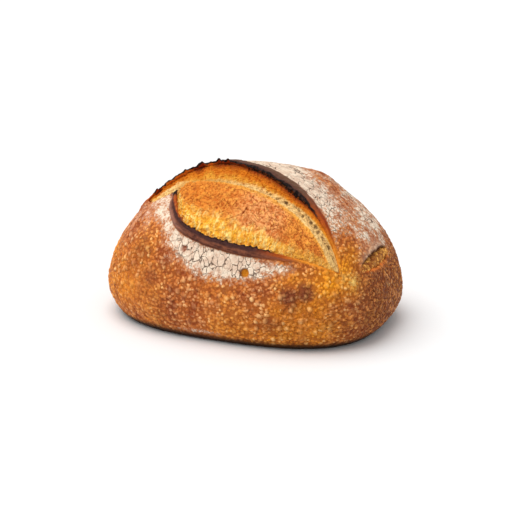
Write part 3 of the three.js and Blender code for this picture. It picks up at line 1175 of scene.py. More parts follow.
crumb = makeCrumb()
print("crumb cage", len(crumb.data.vertices), "points")
applyModifier(crumb, "SUBSURF", levels=crumbCage["levels"], render_levels=crumbCage["levels"])
print("crumb subdivided", len(crumb.data.polygons), "faces")


# what lies where on the crumb: along it from 0 to 1, across it from -1 at the ear over 0 at the seam
# to 1 at the lip
crumbMarks = {
    # holes torn open along the seam: share of the way, millimetres below it, radius, depth
    "holes": [(0.3, -1.6, 1.9, 1.0), (0.342, -0.3, 1.4, 0.9), (0.284, -1.4, 1.2, 0.6),
              (0.262, -0.6, 0.8, 0.5), (0.235, -2.4, 1.4, 0.6), (0.21, -0.8, 1.5, 0.9),
              (0.188, -3.4, 1.3, 0.7), (0.17, -1.4, 1.6, 1.0), (0.147, -1.6, 1.6, 0.9),
              (0.128, -0.5, 1.5, 0.8), (0.12, 2.0, 1.2, 0.5), (0.103, 0.6, 1.6, 1.0),
              (0.086, 1.2, 1.5, 0.9), (0.07, 0.3, 1.7, 1.0), (0.06, 2.6, 1.2, 0.6), (0.04, 1.6, 1.4, 0.8),
              (0.385, -1.6, 1.2, 0.7), (0.405, -2.2, 0.8, 0.5), (0.46, -1.4, 1.0, 0.6),
              (0.48, -1.2, 0.7, 0.5), (0.53, -1.8, 1.1, 0.8), (0.546, -1.4, 0.8, 0.6),
              (0.615, -1.0, 1.0, 0.7), (0.636, -1.0, 0.7, 0.5)],
    "holeEdge": (0.3, 1.15),
    "holeStretch": (0.9, 1.5),
    "holesShallow": [(0.08, 0.95), (0.26, 1)],
    "small": 70,  # more of them, strewn at random
    "smallSeed": 11,
    "smallAlong": (0.04, 0.7),  # the first one's place and the length that they cover
    "smallHighest": [(0.05, -1), (0.15, -5), (0.4, -1.6)],
    "smallLowest": [(0.05, 5), (0.2, 0.6)],
    "smallRadius": (0.4, 0.9),
    "smallDepth": (0.3, 0.6),
    "slit": (0.43, 0.57),  # a short slit in the bulge
    "slitAim": (-0.29, -0.96),
    "slitWidth": 0.5,
    "slitEnds": (2.6, 5.5),
    "bulgeRoom": 1.15,
    "rough": [(0.0, 0.12), (0.93, 1.0)],
    "roughLeast": 0.25,
    "calmTip": [(0.15, 0.34), (-0.6, 0.0)],
    "calmTipShare": 0.8,
    # how far the cream of the seam reaches up the wall and down the bulge, and how strong it is
    "seamUp": [(0, 0.95), (0.05, 0.76), (0.1, 0.52), (0.2, 0.42), (0.26, 0.32), (0.32, 0.28), (0.42, 0.26),
               (0.7, 0.2), (0.78, 0.3), (0.87, 0.72), (1, 0.72)],
    "seamDown": [(0, 0.95), (0.04, 0.78), (0.08, 0.5), (0.115, 0.34), (0.17, 0.22), (0.25, 0.13),
                 (0.42, 0.05), (0.6, 0.03), (0.76, 0.03), (0.84, 1), (1, 1)],
    "seamShare": [(0, 0.6), (0.04, 1), (0.28, 1), (0.42, 0.85), (0.7, 0.85), (0.9, 0.8), (1, 0.3)],
    "seamTopEdge": (-0.22, 0.16),
    "seamLowEdge": (-0.03, 0.08),
    "besideSeam": 0.24,
    "lowEnd": (0.16, 0.36),
    "lowTip": (0.06, 0.16),
    "fringe": [(0, 0.72), (0.2, 0.88), (0.35, 0.84), (0.6, 0.84), (0.75, 0.86), (1, 0.7)],
    "fringeEdge": (-0.26, 0.16),
    "rosy": [(0.22, 0.3), (0.4, 0.52)],
    "highEnd": [(0.5, 0.68), (0.8, 0.88)],
}


# Rises over the first span and falls over the second.
def swell(value, spans):
    rise, fall = spans
    return smooth(value, *rise) * (1 - smooth(value, *fall))


def holesOn(flow):
    look = crumbMarks
    chance = np.random.default_rng(look["smallSeed"])
    holes = list(look["holes"])
    first, length = look["smallAlong"]
    for k in range(look["small"]):
        at = first + length * k / look["small"]
        down = chance.uniform(curve(at, look["smallHighest"]), curve(at, look["smallLowest"]))
        holes.append((at, down, chance.uniform(*look["smallRadius"]), chance.uniform(*look["smallDepth"])))
    pit = np.zeros(len(flow))
    for at, down, radius, deep in holes:
        across = (flow[:, 0] - at * skinZones["flowLength"]) / chance.uniform(*look["holeStretch"])
        gap = np.hypot(across, flow[:, 1] - down) / radius
        pit = np.maximum(pit, (1 - smooth(gap, *look["holeEdge"])) * deep * curve(at, look["holesShallow"]))
    return pit


def slitOn(flow, side, bulgeWide):
    place, height = crumbMarks["slit"]
    aim = np.array(crumbMarks["slitAim"])
    gap = np.stack([flow[:, 0] - place * skinZones["flowLength"], (side - height) * bulgeWide], -1)
    crossing = gap @ np.array([-aim[1], aim[0]])
    within = 1 - smooth(np.abs(gap @ aim), *crumbMarks["slitEnds"])
    return hill(crossing, 0, crumbMarks["slitWidth"]) * within


def shapeCrumb(piece):
    look = crumbMarks
    points = readPoints(piece)
    along, side, top = (readMask(piece, key) for key in ("along", "side", "top"))
    ear, middle, lip = (guide(score[key], fineSteps) for key in ("ear", "seam", "lip"))
    walk = np.linspace(0, 1, fineSteps + 1)
    lift = (score["earLift"] + score["seamDepth"]) * earSize(walk)
    wallWide = np.interp(along, walk, np.hypot(np.linalg.norm(ear - middle, axis=1), lift) + 1)
    bulgeWide = np.interp(along, walk, np.linalg.norm(lip - middle, axis=1) * look["bulgeRoom"] + 1)
    across = side * np.where(side < 0, wallWide, bulgeWide)
    flow = np.stack([along * skinZones["flowLength"], across, np.zeros(len(points))], -1)
    storePlace(piece, "place", points)
    storePlace(piece, "flow", flow)
    tipAlong, tipAcross = look["calmTip"]
    besideTip = (1 - smooth(along, *tipAlong)) * (1 - smooth(side, *tipAcross))
    rough = look["roughLeast"] + (1 - look["roughLeast"]) * swell(along, look["rough"])
    upper, lower, strength = (curve(along, look[key]) for key in ("seamUp", "seamDown", "seamShare"))
    seam = about(side, -upper, look["seamTopEdge"]) * (1 - about(side, lower, look["seamLowEdge"])) * strength
    storeMasks(piece, {
        "rough": top * rough * (1 - look["calmTipShare"] * besideTip),
        "char": curve(along, burnLook["char"]),
        "besideSeam": 1 - about(side, lower, (0, look["besideSeam"])),
        "seam": top * seam,
        "lowEnd": 1 - smooth(along, *look["lowEnd"]),
        "lowTip": 1 - smooth(along, *look["lowTip"]),
        "fringe": about(side, curve(along, look["fringe"]), look["fringeEdge"]),
        "rosy": swell(along, look["rosy"]),
        "highEnd": swell(along, look["highEnd"]),
        "pit": holesOn(flow) * top,
        "slit": slitOn(flow, side, bulgeWide),
    })


shapeCrumb(crumb)

# patterns that follow the score: torn strands from the seam to the lip, and fine ridges along it
flowLook = {
    "streakWander": (9.0, 5.0),
    "streakStretch": (1.0, 0.3, 1.0),
    "streak": (2.8, 3.0, 0.6),  # size, detail and roughness
    "ridgeBend": (12.0, 8.0),
    "ridgeJag": (3.0, 2.4),
    "ridgeStretch": (0.36, 1.0, 1.0),
    "ridge": (3.2, 0.6, 0.06),
}


def streakPattern(flow):
    stretched = stretch(wander(flow, *flowLook["streakWander"]), flowLook["streakStretch"])
    return noise(stretched, *flowLook["streak"])


def ridgePattern(flow):
    bent = wander(wander(flow, *flowLook["ridgeBend"]), *flowLook["ridgeJag"])
    return 1 - foldPattern(stretch(bent, flowLook["ridgeStretch"]), *flowLook["ridge"])


crumbRelief = {
    "torn": 2.2, "streak": 0.6, "ridge": 0.45, "pit": 1.2, "slit": 0.9,
    "waves": 2.6, "waveSize": 11.0,
    "seamRough": 0.5,  # share of the roughness that is left on the seam
}


def crumbHeight(tree):
    (place, flow), mask, look = placesOn(tree), masksOn(tree), crumbRelief
    rough = mask("rough") * between(mask("seam"), 1.0, look["seamRough"])
    height = (tornPattern(place) - 0.5) * rough * look["torn"]
    height = height + (streakPattern(flow) - 0.5) * rough * look["streak"]
    height = height + (noise(place, look["waveSize"]) - 0.5) * rough * look["waves"]
    height = height - ridgePattern(flow) * rough * look["ridge"]
    return height - mask("pit") * look["pit"] - mask("slit") * look["slit"]


reliefModifier(crumb, "crumbRelief", crumbHeight)
print("crumb relief")


def thin(piece, limit):
    triangles = sum(len(face.vertices) - 2 for face in piece.data.polygons)
    if triangles > limit:
        applyModifier(piece, "DECIMATE", ratio=limit / triangles, use_collapse_triangulate=True)
    pick(piece)
    bpy.ops.object.shade_smooth()
    print(piece.name, "has", len(piece.data.polygons), "faces")


thin(crust, 198000)
thin(crumb, 150000)


# A tone as it looks on a screen, from 0 to 255, made linear.
def tone(*screen):
    shares = [level / 255 for level in screen]
    linear = [share / 12.92 if share <= 0.04045 else ((share + 0.055) / 1.055) ** 2.4 for share in shares]
    return (*linear, 1.0)


def blend(share, a, b):
    return worked("ShaderNodeMix", 2, {0: share, 6: a, 7: b}, data_type="RGBA")


# Lays tones over a colour one after the other, each where its share says.
def lay(colour, *layers):
    for share, over in layers:
        colour = blend(share, colour, over)
    return colour


def newMaterial(name, rough, specular):
    material = bpy.data.materials.new(name)
    material.use_nodes = True
    tree = material.node_tree
    shader = tree.nodes["Principled BSDF"]
    shader.inputs["Roughness"].default_value = rough
    shader.inputs["Specular IOR Level"].default_value = specular
    return material, tree, shader


def addBump(shader, height, strength):
    bump = worked("ShaderNodeBump", 0, {"Height": height, "Strength": strength, "Distance": mm})
    plug(bump, shader.inputs["Normal"])


def patternGroup(name, outputs, fill):
    tree = bpy.data.node_groups.new(name, "ShaderNodeTree")
    tree.interface.new_socket(name="Place", in_out="INPUT", socket_type="NodeSocketVector")
    for key in outputs:
        tree.interface.new_socket(name=key, in_out="OUTPUT", socket_type="NodeSocketFloat")
    entry = addNode(tree, "NodeGroupInput")
    leave = addNode(tree, "NodeGroupOutput")
    for key, value in zip(outputs, fill(Value(tree, entry.outputs[0]))):
        plug(value, leave.inputs[key])
    return tree


def useGroup(group, place):
    item = addNode(place.tree, "ShaderNodeGroup", node_tree=group)
    plug(place, item.inputs["Place"])
    return {socket.name: Value(place.tree, socket) for socket in item.outputs}


grainLook = {
    "sizes": {"Fine": 1.2, "Small": 2.6, "Mottle": 7.0, "Broad": 24.0},
    "detail": 3.0,
    "rough": 0.6,
}


def grainFill(place):
    detail, rough = grainLook["detail"], grainLook["rough"]
    return [noise(place, size, detail, rough) for size in grainLook["sizes"].values()]


tornGroup = patternGroup("tornCrumb", ["Height"], lambda place: [tornPattern(place)])
grainGroup = patternGroup("bakedGrain", list(grainLook["sizes"]), grainFill)

crustTones = {
    "ground": tone(194, 104, 36),
    "deep": tone(144, 62, 18),
    "light": tone(220, 132, 44),
    "gold": tone(240, 148, 10),
    "blister": tone(248, 180, 98),
    "blisterRosy": tone(244, 186, 132),
    "blisterGold": tone(250, 182, 66),
    # painted highlight: the near-white centres of the lightest blisters
    "blisterHighlight": tone(255, 206, 138),
    "pink": tone(212, 158, 132),
    "pale": tone(250, 216, 122),
    "brown": tone(150, 84, 44),
    "dark": tone(102, 40, 28),
    "rust": tone(150, 76, 42),
    # the ground between the blisters, partly its own darker tone and partly painted shade between the domes
    "gap": tone(116, 52, 18),
    "gapGold": tone(150, 68, 2),
    "freckle": tone(228, 160, 104),
    # painted highlight on the crest lines of wrinkles and creases
    "crest": tone(216, 144, 78),
    "flour": tone(233, 214, 191),
    "flourShade": tone(209, 177, 153),
    "flourThin": tone(188, 134, 100),
    "crack": tone(76, 50, 36),
    # painted shade in the fold lines of wrinkles and creases
    "fold": tone(98, 46, 20),
    "roll": tone(60, 28, 24),
    # painted highlight along the middle of the lip's rolled band
    "rollSheen": tone(132, 76, 52),
    "rollDusty": tone(170, 120, 102),
    "rollEnd": tone(136, 72, 46),
    "earDark": tone(86, 50, 38),
    "earEnd": tone(142, 52, 8),
    "rimOrange": tone(214, 118, 36),
    "burntBrown": tone(62, 40, 33),
    "earRoll": tone(102, 70, 50),
    "earRim": tone(150, 74, 44),
    "burnt": tone(18, 10, 8),
    "scorched": tone(150, 56, 16),
    "ember": tone(168, 74, 12),
    "emberTip": tone(226, 138, 36),
    "crumb": tone(240, 172, 80),
    # the torn crumb's darker tone, laid in the lows of its relief as partly painted shade
    "crumbDeep": tone(146, 80, 30),
    "innerLip": tone(178, 96, 32),
    "shade": tone(74, 32, 18),
    "dust": tone(206, 176, 148),
    "scoreRim": tone(216, 112, 40),
    "bubble": tone(202, 126, 30),
    # painted contact shadow along the bottom edge
    "sole": tone(22, 9, 4),
}

# Where each tone sets in on its pattern, from none to full. Two more numbers are the shares at both ends.
skinSets = {
    "speck": (0.22, 0.6, 0.48),  # shares of the small, mottled and broad grain in the ground
    "ground": (0.5, 0.66),
    "light": (0.64, 0.82),
    "gold": (0.5, 0.66, 0.5, 1.0),
    "rust": (0.78, 0.95),
    "rustBold": (0.6, 0.25),
    "brown": (0.5, 0.75),
    "brownShare": 0.46,
    "dark": (0.5, 1.08),
    "darkShare": 0.85,
    "darkLights": 0.5,
    "gapShare": 0.68,
    "rosy": (0.42, 0.6),
    "litSmall": (0.3, 0.55, 0.6, 1.1),
    "litMottle": (0.36, 0.6, 0.4, 1.1),
    "tip": (0.32, 0.68, 0, 0.75),
    "pale": (0.62, 0.86),
    "plainUnlit": (0.0, 0.4, 1.0, 0.0),
    "plainCalm": (0.4, 0.9, 1.0, 0.35),
    "plainBold": 0.3,
    "freckle": (0.7, 0.86),
    "freckleGold": (0.6, 0.1),
    "dimple": (0.6, 0.46),
    "dimpleShare": 0.4,
    "crest": (0.7, 1.0),
    "crestPatch": (0.4, 0.62),
    "crestHighlightShare": 0.74,
    "foldShadeShare": 0.72,
}


def skinColour(mask, grain, blisters, wrinkle, crease):
    tones, sets = crustTones, skinSets
    gaps, lightness = blisters[1:]
    fine, small, mottle, broad = grain.values()
    blistered, bold = mask("blistered"), mask("bold")
    smallShare, mottleShare, broadShare = sets["speck"]
    speck = small * smallShare + mottle * mottleShare + broad * broadShare
    goldShare = mask("gold") * ramp(speck, *sets["gold"])
    rustShare = ramp(mottle + small * 0.5 - goldShare * 0.2, *sets["rust"]) * between(bold, *sets["rustBold"])
    brownTone = blend(ramp(speck, *sets["brown"]), tones["dark"], tones["brown"])
    darkShare = ramp(mask("dark") + mottle * 0.7 + small * 0.5 - 0.25, *sets["dark"])
    # the ground between the blisters: partly its own darker tone, partly painted shade
    gapTone = blend(goldShare, tones["gap"], tones["gapGold"])

    blisterTone = blend(ramp(broad, *sets["rosy"]), tones["blisterRosy"], tones["blister"])
    blisterTone = blend(goldShare, blisterTone, tones["blisterGold"])
    # how light each blister is: partly its own lighter tone, partly a painted highlight on the domes
    lights = lightness * blistered * between(darkShare, 1.0, sets["darkLights"])
    lights = lights * ramp(small, *sets["litSmall"]) * ramp(mottle, *sets["litMottle"])
    # painted highlight: the lightest blisters get a near-white centre
    blisterTone = blend(ramp(lights, *sets["tip"]), blisterTone, tones["blisterHighlight"])

    # small freckles and dimples where there are few blisters, a painted highlight on the crest lines of
    # wrinkles and creases, and painted shade in their fold lines
    specks = fine + small * 0.3
    plain = ramp(lights, *sets["plainUnlit"]) * ramp(blistered, *sets["plainCalm"])
    plain = plain * between(bold, 1.0, sets["plainBold"])
    freckled = ramp(specks, *sets["freckle"]) * plain * between(goldShare, *sets["freckleGold"])
    wrinkled, creased = mask("wrinkled"), mask("creased")
    # painted highlight on the crest lines and painted shade in the fold lines
    litCrests = larger(ramp(wrinkle, *sets["crest"]) * wrinkled, ramp(crease, *sets["crest"]) * creased)
    shadedFolds = larger((1 - wrinkle) * wrinkled, (1 - crease) * creased)
    return lay(
        blend(ramp(speck, *sets["ground"]), tones["deep"], tones["ground"]),
        (ramp(speck, *sets["light"]), tones["light"]),
        (goldShare, tones["gold"]),
        (rustShare, tones["rust"]),
        (mask("brown") * sets["brownShare"], brownTone),
        (darkShare * sets["darkShare"], tones["dark"]),
        # darker gaps between the blisters, partly painted shade
        (gaps * blistered * sets["gapShare"], gapTone),
        (lights, blisterTone),
        (mask("pale") * ramp(small + fine * 0.5, *sets["pale"]), tones["pale"]),
        (freckled, tones["freckle"]),
        (ramp(specks, *sets["dimple"]) * plain * sets["dimpleShare"], gapTone),
        (litCrests * ramp(small, *sets["crestPatch"]) * sets["crestHighlightShare"], tones["crest"]),
        (shadedFolds * sets["foldShadeShare"], tones["fold"]),
    )


flourSets = {
    "covered": (0.04, 0.25),
    "thick": (0.36, 0.66),
    "thin": (0.1, 0.45),
    "thinShare": 0.6,
    "pinkMottle": (0.35, 0.6),
    "pinkSmall": (0.36, 0.56, 0.3, 0.9),
    "dulled": (0.8, 0.6, 0, 0.66),
    "thickFine": (0.3, 0.55, 0.7, 1.0),
    "cracks": (0.3, 0.7),
    "crackShare": 0.85,
}


def flourColour(colour, mask, grain, crack):
    tones, sets = crustTones, flourSets
    fine, small, mottle, broad = grain.values()
    powder = mask("flour") + (mottle * 0.8 + small * 0.9 + fine * 0.8 + broad * 0.3 - 1.4)
    covered = ramp(mask("flour"), *sets["covered"])
    thick = ramp(powder, *sets["thick"]) * covered
    pinkShare = mask("pink") * ramp(mottle, *sets["pinkMottle"]) * ramp(small, *sets["pinkSmall"])
    flourTone = blend(ramp(mottle + small * 0.4, *sets["dulled"]), tones["flour"], tones["flourShade"])
    lines = crack * ramp(powder, *sets["cracks"]) * covered * mask("cracked")
    colour = lay(
        colour,
        (ramp(powder, *sets["thin"]) * covered * sets["thinShare"], tones["flourThin"]),
        (pinkShare, tones["pink"]),
        (thick * ramp(fine, *sets["thickFine"]), flourTone),
        (lines * sets["crackShare"], tones["crack"]),
    )
    return colour, thick, lines


rollSets = {
    "sheenLow": (0.3, 0.62),
    "sheenHigh": (1.0, 0.75),
    "sheenPatch": (0.36, 0.62, 0.15, 0.9),
    "dustedFrom": (0.6, 0.74, 0, 0.6),
    "dusted": (0.4, 0.85),
    "worn": (0.2, 0.62),
    "earRim": (0.8, 0.98, 0, 0.8),
    "inner": (0.66, 0.4),
    "scorch": (0.0, 0.4),
    "rimOrange": (0.35, 0.9),
    "sooty": (0.46, 0.62),
    "burn": (0.34, 0.74),
    "burnFrom": (0.02, 0.15),
    "innerLip": (-0.2, 0.25),
}


def rollColour(colour, mask, grain, jag, streak):
    tones, sets, small = crustTones, rollSets, grain["Small"]
    share, ear, char = mask("rollShare"), mask("ear"), mask("char")
    # painted highlight: a lighter stripe along the middle of the lip's rolled band
    paintedSheen = ramp(share, *sets["sheenLow"]) * ramp(share, *sets["sheenHigh"])
    paintedSheen = paintedSheen * ramp(streak * 0.6 + small * 0.4, *sets["sheenPatch"])
    dusted = ramp(mask("along"), *sets["dustedFrom"]) * ramp(share, *sets["dusted"])
    lipTone = lay(tones["roll"], (paintedSheen, tones["rollSheen"]), (dusted, tones["rollDusty"]))
    worn = share + small * 0.5 + streak * 0.3 - 0.4
    earTone = lay(tones["earDark"], (ramp(worn, *sets["worn"]), tones["earRoll"]),
                  (ramp(share, *sets["earRim"]), tones["earRim"]))
    inner = larger(ramp(share + streak * 0.3 - 0.15, *sets["inner"]), mask("tip"))
    emberTone = blend(mask("tip"), tones["ember"], tones["emberTip"])
    emberTone = blend(inner, blend(ear, tones["rollEnd"], tones["earEnd"]), emberTone)
    rollTone = lay(lipTone, (ear, earTone), (mask("ember"), emberTone))

    swing = jag * 1.1 + small * 0.5 - 0.8
    scorch = ramp(mask("under") + swing * 0.7 - char * 0.3, *sets["scorch"])
    rimTone = blend(ramp(char + swing * 0.6, *sets["rimOrange"]), tones["rimOrange"], tones["scorched"])
    sooty = blend(ramp(small, *sets["sooty"]), tones["burnt"], tones["burntBrown"])
    burn = ramp(mask("burn") + swing, *sets["burn"]) * ramp(mask("burn"), *sets["burnFrom"]) * (1 - scorch)
    cavityTone = blend(ramp(swing, *sets["innerLip"]), tones["scorched"], tones["innerLip"])
    return lay(
        colour,
        (mask("band"), rollTone),
        (mask("edge"), lay(sooty, (scorch, rimTone), (mask("ember"), emberTone))),
        (burn, sooty),
        (mask("innerLip"), cavityTone),
    )


markSets = {
    "crumb": (0.12, 0.7),
    "shade": (0.2, 0.8, 0.95, 0.7),
    "edge": (0.3, 0.6, 0.3, 0.85),
    "dust": (0.1, 0.6, 0.5, 0.95),
    "bubbleShadeRimShare": 0.7,
    "scarShare": 0.8,
    "soleShadowShare": 0.95,
}


def marksColour(colour, mask, torn, lights):
    tones, sets = crustTones, markSets
    # the score's crumb is lighter on its torn highs and darker in its lows, partly painted light and shade
    crumbTone = blend(ramp(torn * 0.5 + lights, *sets["crumb"]), tones["crumbDeep"], tones["crumb"])
    return lay(
        colour,
        (mask("scoreInside"), crumbTone),
        (mask("scoreShade") * ramp(lights, *sets["shade"]), tones["shade"]),
        (mask("scoreEdge") * ramp(torn, *sets["edge"]), tones["scoreRim"]),
        (mask("flapTop") * ramp(lights, *sets["dust"]), tones["dust"]),
        (mask("bubble"), tones["bubble"]),
        # painted shade inside the upper left of the bubble's rim
        (mask("bubbleRim") * sets["bubbleShadeRimShare"], tones["shade"]),
        (mask("scar") * sets["scarShare"], tones["rust"]),
        # painted contact shadow on the lowest millimetres of the crust
        (mask("underside") * sets["soleShadowShare"], tones["sole"]),
    )


crustFinish = {
    "roughness": 0.5,  # where nothing lies on it
    "flourRough": 0.35,
    "burntRough": 0.3,
    "grainRough": 0.16,
    "specular": 0.14,
    "jag": ((1.0, 0.3, 1.0), 2.0),  # stretch and size of the patterns that follow the edges
    "streak": ((0.16, 1.0, 1.0), 1.4),
    # the finest relief, in millimetres
    "blisterBump": (1.4, 2.4),
    "foldBump": 0.5,
    "crackBump": 0.4,
    "smallBump": 0.5,
    "fineBump": 0.2,
    "bandBump": (0.4, 0.8),
    "bump": 0.9,
}


def crustMaterial():
    finish = crustFinish
    material, tree, shader = newMaterial("bakedCrust", finish["roughness"], finish["specular"])
    (place, flow), mask = placesOn(tree), masksOn(tree)
    grain = useGroup(grainGroup, place)
    torn = useGroup(tornGroup, place)["Height"]
    blisters, crack = blisterPattern(place), crackPattern(place)
    wrinkle, crease = wrinklePattern(place), creasePattern(place)
    jag, streak = (noise(stretch(flow, shares), size) for shares, size in (finish["jag"], finish["streak"]))

    colour = skinColour(mask, grain, blisters, wrinkle, crease)
    colour, thick, lines = flourColour(colour, mask, grain, crack)
    colour = rollColour(colour, mask, grain, jag, streak)
    plug(marksColour(colour, mask, torn, blisters[2]), shader.inputs["Base Color"])
    rough = thick * finish["flourRough"] + finish["roughness"] + mask("burn") * finish["burntRough"]
    plug(rough + grain["Fine"] * finish["grainRough"], shader.inputs["Roughness"])
    streakBump, smallBump = finish["bandBump"]
    height = blisters[0] * mask("blistered") * between(mask("bold"), *finish["blisterBump"])
    height = height + wrinkle * mask("wrinkled") * finish["foldBump"]
    height = height + crease * mask("creased") * finish["foldBump"] - lines * finish["crackBump"]
    height = height + grain["Small"] * finish["smallBump"] + grain["Fine"] * finish["fineBump"]
    height = height + (streak * streakBump + grain["Small"] * smallBump) * mask("band")
    addBump(shader, height, finish["bump"])
    return material


crumbTones = {
    "burnt": tone(24, 14, 10),
    "scorched": tone(152, 60, 16),
    "orange": tone(216, 124, 26),
    "rind": tone(188, 96, 22),
    "yellow": tone(248, 182, 60),
    "seamCream": tone(246, 208, 140),
    "seamGrey": tone(204, 166, 110),
    "wallYellow": tone(230, 164, 56),
    # painted shade in the torn holes along the seam
    "pit": tone(116, 86, 52),
    "honey": tone(244, 176, 70),
    "rosy": tone(236, 162, 98),
    "tan": tone(230, 146, 60),
    "seamTan": tone(200, 148, 74),
    "lowGold": tone(208, 144, 62),
    "lowSeam": tone(196, 148, 78),
    "toast": tone(196, 100, 34),
    "streak": tone(168, 82, 30),
    "gold": tone(246, 172, 44),
    "fibre": tone(255, 224, 140),
    "slit": tone(146, 66, 22),
}

crumbSets = {
    "uneven": (0.22, 0.22),  # how far the mottle and the streaks shift each tone's edge
    "charShift": 0.34,
    "scorched": (-1.0, -0.9),
    "orangeFrom": -0.95,
    "orangeTo": (0.9, 1.2, -0.68, -0.58),  # further down where the ear is black
    "wallYellow": (-0.62, -0.3),
    "wallToast": (0.5, 0.2, 0, 0.3),
    "wallRind": (0.5, 0.34, 0, 0.5),
    "honey": (0.5, 0.72, 0, 0.7),
    "toast": (0.5, 0.32, 0, 0.7),
    "toastSmall": (0.5, 0.32, 0, 0.6),
    "highOrange": 0.35,
    "ridges": (0.36, 0.54),
    "ridgeShare": 0.85,
    "nearSeam": (0.1, 1.0),
    "nearSeamHigh": (0.75, 0.3),
    "fringe": (0.25, 0.85),
    "yellow": (0.25, 0.5),
    "fibre": (0.66, 0.84, 0, 0.85),
    "fringeTan": (0.5, 0.36, 0, 0.55),
    "lowGold": (0.4, 0.6, 0.9, 0.5),
    "seamCream": (0.38, 0.56),
    "seamTanShare": 0.75,
    "lowSeamShare": 0.4,
    "seam": (0.15, 0.95, 0, 0.9),
    "bulgeFrom": (0.0, 0.1),
}

crumbFinish = {
    "roughness": 0.8,
    "specular": 0.12,
    # the finest relief, in millimetres
    "tornBump": 0.7, "smallBump": 0.6, "fineBump": 0.3, "streakBump": 0.6, "ridgeBump": 0.3,
    "bump": 0.9,
}


# The wall, from the burnt edge of the ear down to the seam.
def wallColour(mask, side, torn, streak):
    tones, sets = crumbTones, crumbSets
    char = mask("char")
    down = side + (1 - char) * sets["charShift"]
    return lay(
        blend(ramp(down, *sets["scorched"]), tones["burnt"], tones["scorched"]),
        (ramp(down, sets["orangeFrom"], ramp(char, *sets["orangeTo"])), tones["orange"]),
        (ramp(down, *sets["wallYellow"]), tones["wallYellow"]),
        # toast in the lows of the torn relief, partly painted shade
        (ramp(torn, *sets["wallToast"]), tones["toast"]),
        (ramp(streak, *sets["wallRind"]), tones["rind"]),
    )


# The bulge: its crest tops are lighter than the gaps between them, partly as painted light and shade on the
# torn relief, and its fringe at the lip is golden.
def bulgeColour(mask, grain, shift, torn, streak, ridge):
    tones, sets = crumbTones, crumbSets
    mottle, small = grain["Mottle"], grain["Small"]
    # the torn relief and the mottle: honey goes on its highs and toast in its lows, partly painted light and
    # shade
    crest = torn * 0.35 + mottle * 0.65
    nearSeam = ramp(mask("besideSeam") + shift * 3.4, *sets["nearSeam"])
    fringeTone = lay(
        blend(ramp(torn, *sets["yellow"]), tones["gold"], tones["yellow"]),
        (ramp(streak + small * 0.4, *sets["fibre"]), tones["fibre"]),
        (ramp(small, *sets["fringeTan"]), tones["tan"]),
        (mask("lowEnd") * ramp(small, *sets["lowGold"]), tones["lowGold"]),
    )
    patchy = mask("fringe") + shift * 3.8 + grain["Broad"] * 0.8 - 0.4
    return lay(
        blend(mask("rosy"), tones["tan"], tones["rosy"]),
        (ramp(crest, *sets["honey"]), tones["honey"]),
        (ramp(crest, *sets["toast"]), tones["toast"]),
        (ramp(small, *sets["toastSmall"]), tones["toast"]),
        (mask("highEnd") * sets["highOrange"], tones["orange"]),
        (ridge * ramp(mottle, *sets["ridges"]) * sets["ridgeShare"], tones["streak"]),
        (nearSeam * between(mask("highEnd"), *sets["nearSeamHigh"]), tones["honey"]),
        (ramp(patchy, *sets["fringe"]), fringeTone),
    )


def crumbMaterial():
    tones, sets, finish = crumbTones, crumbSets, crumbFinish
    material, tree, shader = newMaterial("tornCrumb", finish["roughness"], finish["specular"])
    (place, flow), mask = placesOn(tree), masksOn(tree)
    grain = useGroup(grainGroup, place)
    torn = useGroup(tornGroup, place)["Height"]
    streak, ridge, small = streakPattern(flow), ridgePattern(flow), grain["Small"]
    mottleShift, streakShift = sets["uneven"]
    shift = grain["Mottle"] * mottleShift + streak * streakShift - (mottleShift + streakShift) / 2
    side = mask("side") + shift
    seamTone = lay(
        blend(ramp(small, *sets["seamCream"]), tones["seamGrey"], tones["seamCream"]),
        (mask("highEnd") * sets["seamTanShare"], tones["seamTan"]),
        (mask("lowTip") * sets["lowSeamShare"], tones["lowSeam"]),
    )
    seamShare = ramp(mask("seam") + shift * 2.4 + small * 0.9 - 0.45, *sets["seam"])
    colour = lay(
        wallColour(mask, side, torn, streak),
        (ramp(side, *sets["bulgeFrom"]), bulgeColour(mask, grain, shift, torn, streak, ridge)),
        (seamShare, seamTone),
        # painted shade in the torn holes along the seam
        (mask("pit"), tones["pit"]),
        (mask("slit"), tones["slit"]),
    )
    plug(colour, shader.inputs["Base Color"])
    height = torn * finish["tornBump"] + small * finish["smallBump"] + grain["Fine"] * finish["fineBump"]
    height = height + streak * finish["streakBump"] - ridge * finish["ridgeBump"]
    addBump(shader, height, finish["bump"])
    return material


for piece, material in ((crust, crustMaterial()), (crumb, crumbMaterial())):
    piece.data.materials.clear()
    piece.data.materials.append(material)
    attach(piece, "root")
    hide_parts("loaf")
print("materials done")

# the studio
studio = {
    "azimuth": 22,
    "elevation": 19,
    "distance": 1500,
    "pixelsPerMm": 1.266,
    "pictureSize": 512,
    "target": (0, 0, 58),
    "pictureCentre": (254.8, 242.3),  # where the target falls in the picture
    "sensor": 36,
    "seesTo": 20,  # in metres
    # towards each light: right, up, back to the camera; strength and softness
    "key": ((-0.3, 1.0, 0.3), 1.9, 60),
    "front": ((-0.6, 0.55, 0.75), 1.0, 25),
    "sky": 0.61,
    "floorSize": 14,  # in metres
    "floorTone": (0.93, 0.93, 0.93, 1),
    "floorFinish": (0.8, 0.5),  # roughness and specular
}


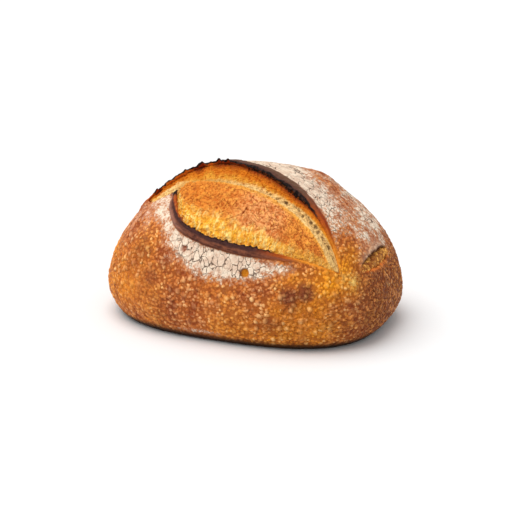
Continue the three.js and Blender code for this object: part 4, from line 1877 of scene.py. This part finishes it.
def makeCamera():
    turn, rise = math.radians(studio["azimuth"]), math.radians(studio["elevation"])
    back = Vector((math.sin(turn) * math.cos(rise), -math.cos(turn) * math.cos(rise), math.sin(rise)))
    right = Vector((math.cos(turn), math.sin(turn), 0))
    up = back.cross(right)
    lens = bpy.data.cameras.new("camera")
    camera = bpy.data.objects.new("camera", lens)
    bpy.context.scene.collection.objects.link(camera)
    lens.sensor_width = studio["sensor"]
    lens.lens = studio["pixelsPerMm"] * studio["distance"] * lens.sensor_width / studio["pictureSize"]
    lens.clip_end = studio["seesTo"]
    middle = studio["pictureSize"] / 2
    aside, above = ((middle - centre) / studio["pixelsPerMm"] for centre in studio["pictureCentre"])
    target = Vector(studio["target"]) + right * aside - up * above
    camera.location = (target + back * studio["distance"]) * mm
    camera.rotation_euler = back.to_track_quat("Z", "Y").to_euler()
    bpy.context.scene.camera = camera
    return right, up, back


def makeSun(name, axes):
    aim, strength, softness = studio[name]
    towards = sum((axis * share for axis, share in zip(axes, aim)), Vector())
    lamp = bpy.data.lights.new(name, "SUN")
    lamp.energy = strength
    lamp.angle = math.radians(softness)
    sun = bpy.data.objects.new(name, lamp)
    bpy.context.scene.collection.objects.link(sun)
    sun.rotation_euler = towards.to_track_quat("Z", "Y").to_euler()
    return sun


def makeFloor():
    material, _, shader = newMaterial("paleFloor", *studio["floorFinish"])
    shader.inputs["Base Color"].default_value = studio["floorTone"]
    deselectAll()
    bpy.ops.mesh.primitive_plane_add(size=studio["floorSize"])
    floor = bpy.context.object
    floor.name = "floor"
    floor.data.materials.append(material)
    return floor


# A white sky that lights the loaf a little less than it shows.
def makeSky():
    world = bpy.data.worlds.new("softWhite")
    bpy.context.scene.world = world
    world.use_nodes = True
    sky = world.node_tree.nodes["Background"]
    sky.inputs["Color"].default_value = (1, 1, 1, 1)
    seen = Value(world.node_tree, addNode(world.node_tree, "ShaderNodeLightPath").outputs["Is Camera Ray"])
    plug(between(seen, studio["sky"], 1.0), sky.inputs["Strength"])


axes = makeCamera()
makeSun("key", axes)
front = makeSun("front", axes)
front.data.use_shadow = False
onlyLoaf = bpy.data.collections.new("lit by the front light")
for piece in (crust, crumb):
    onlyLoaf.objects.link(piece)
front.light_linking.receiver_collection = onlyLoaf
floor = makeFloor()
makeSky()
bpy.context.scene.view_settings.view_transform = "Standard"

print("stage set")
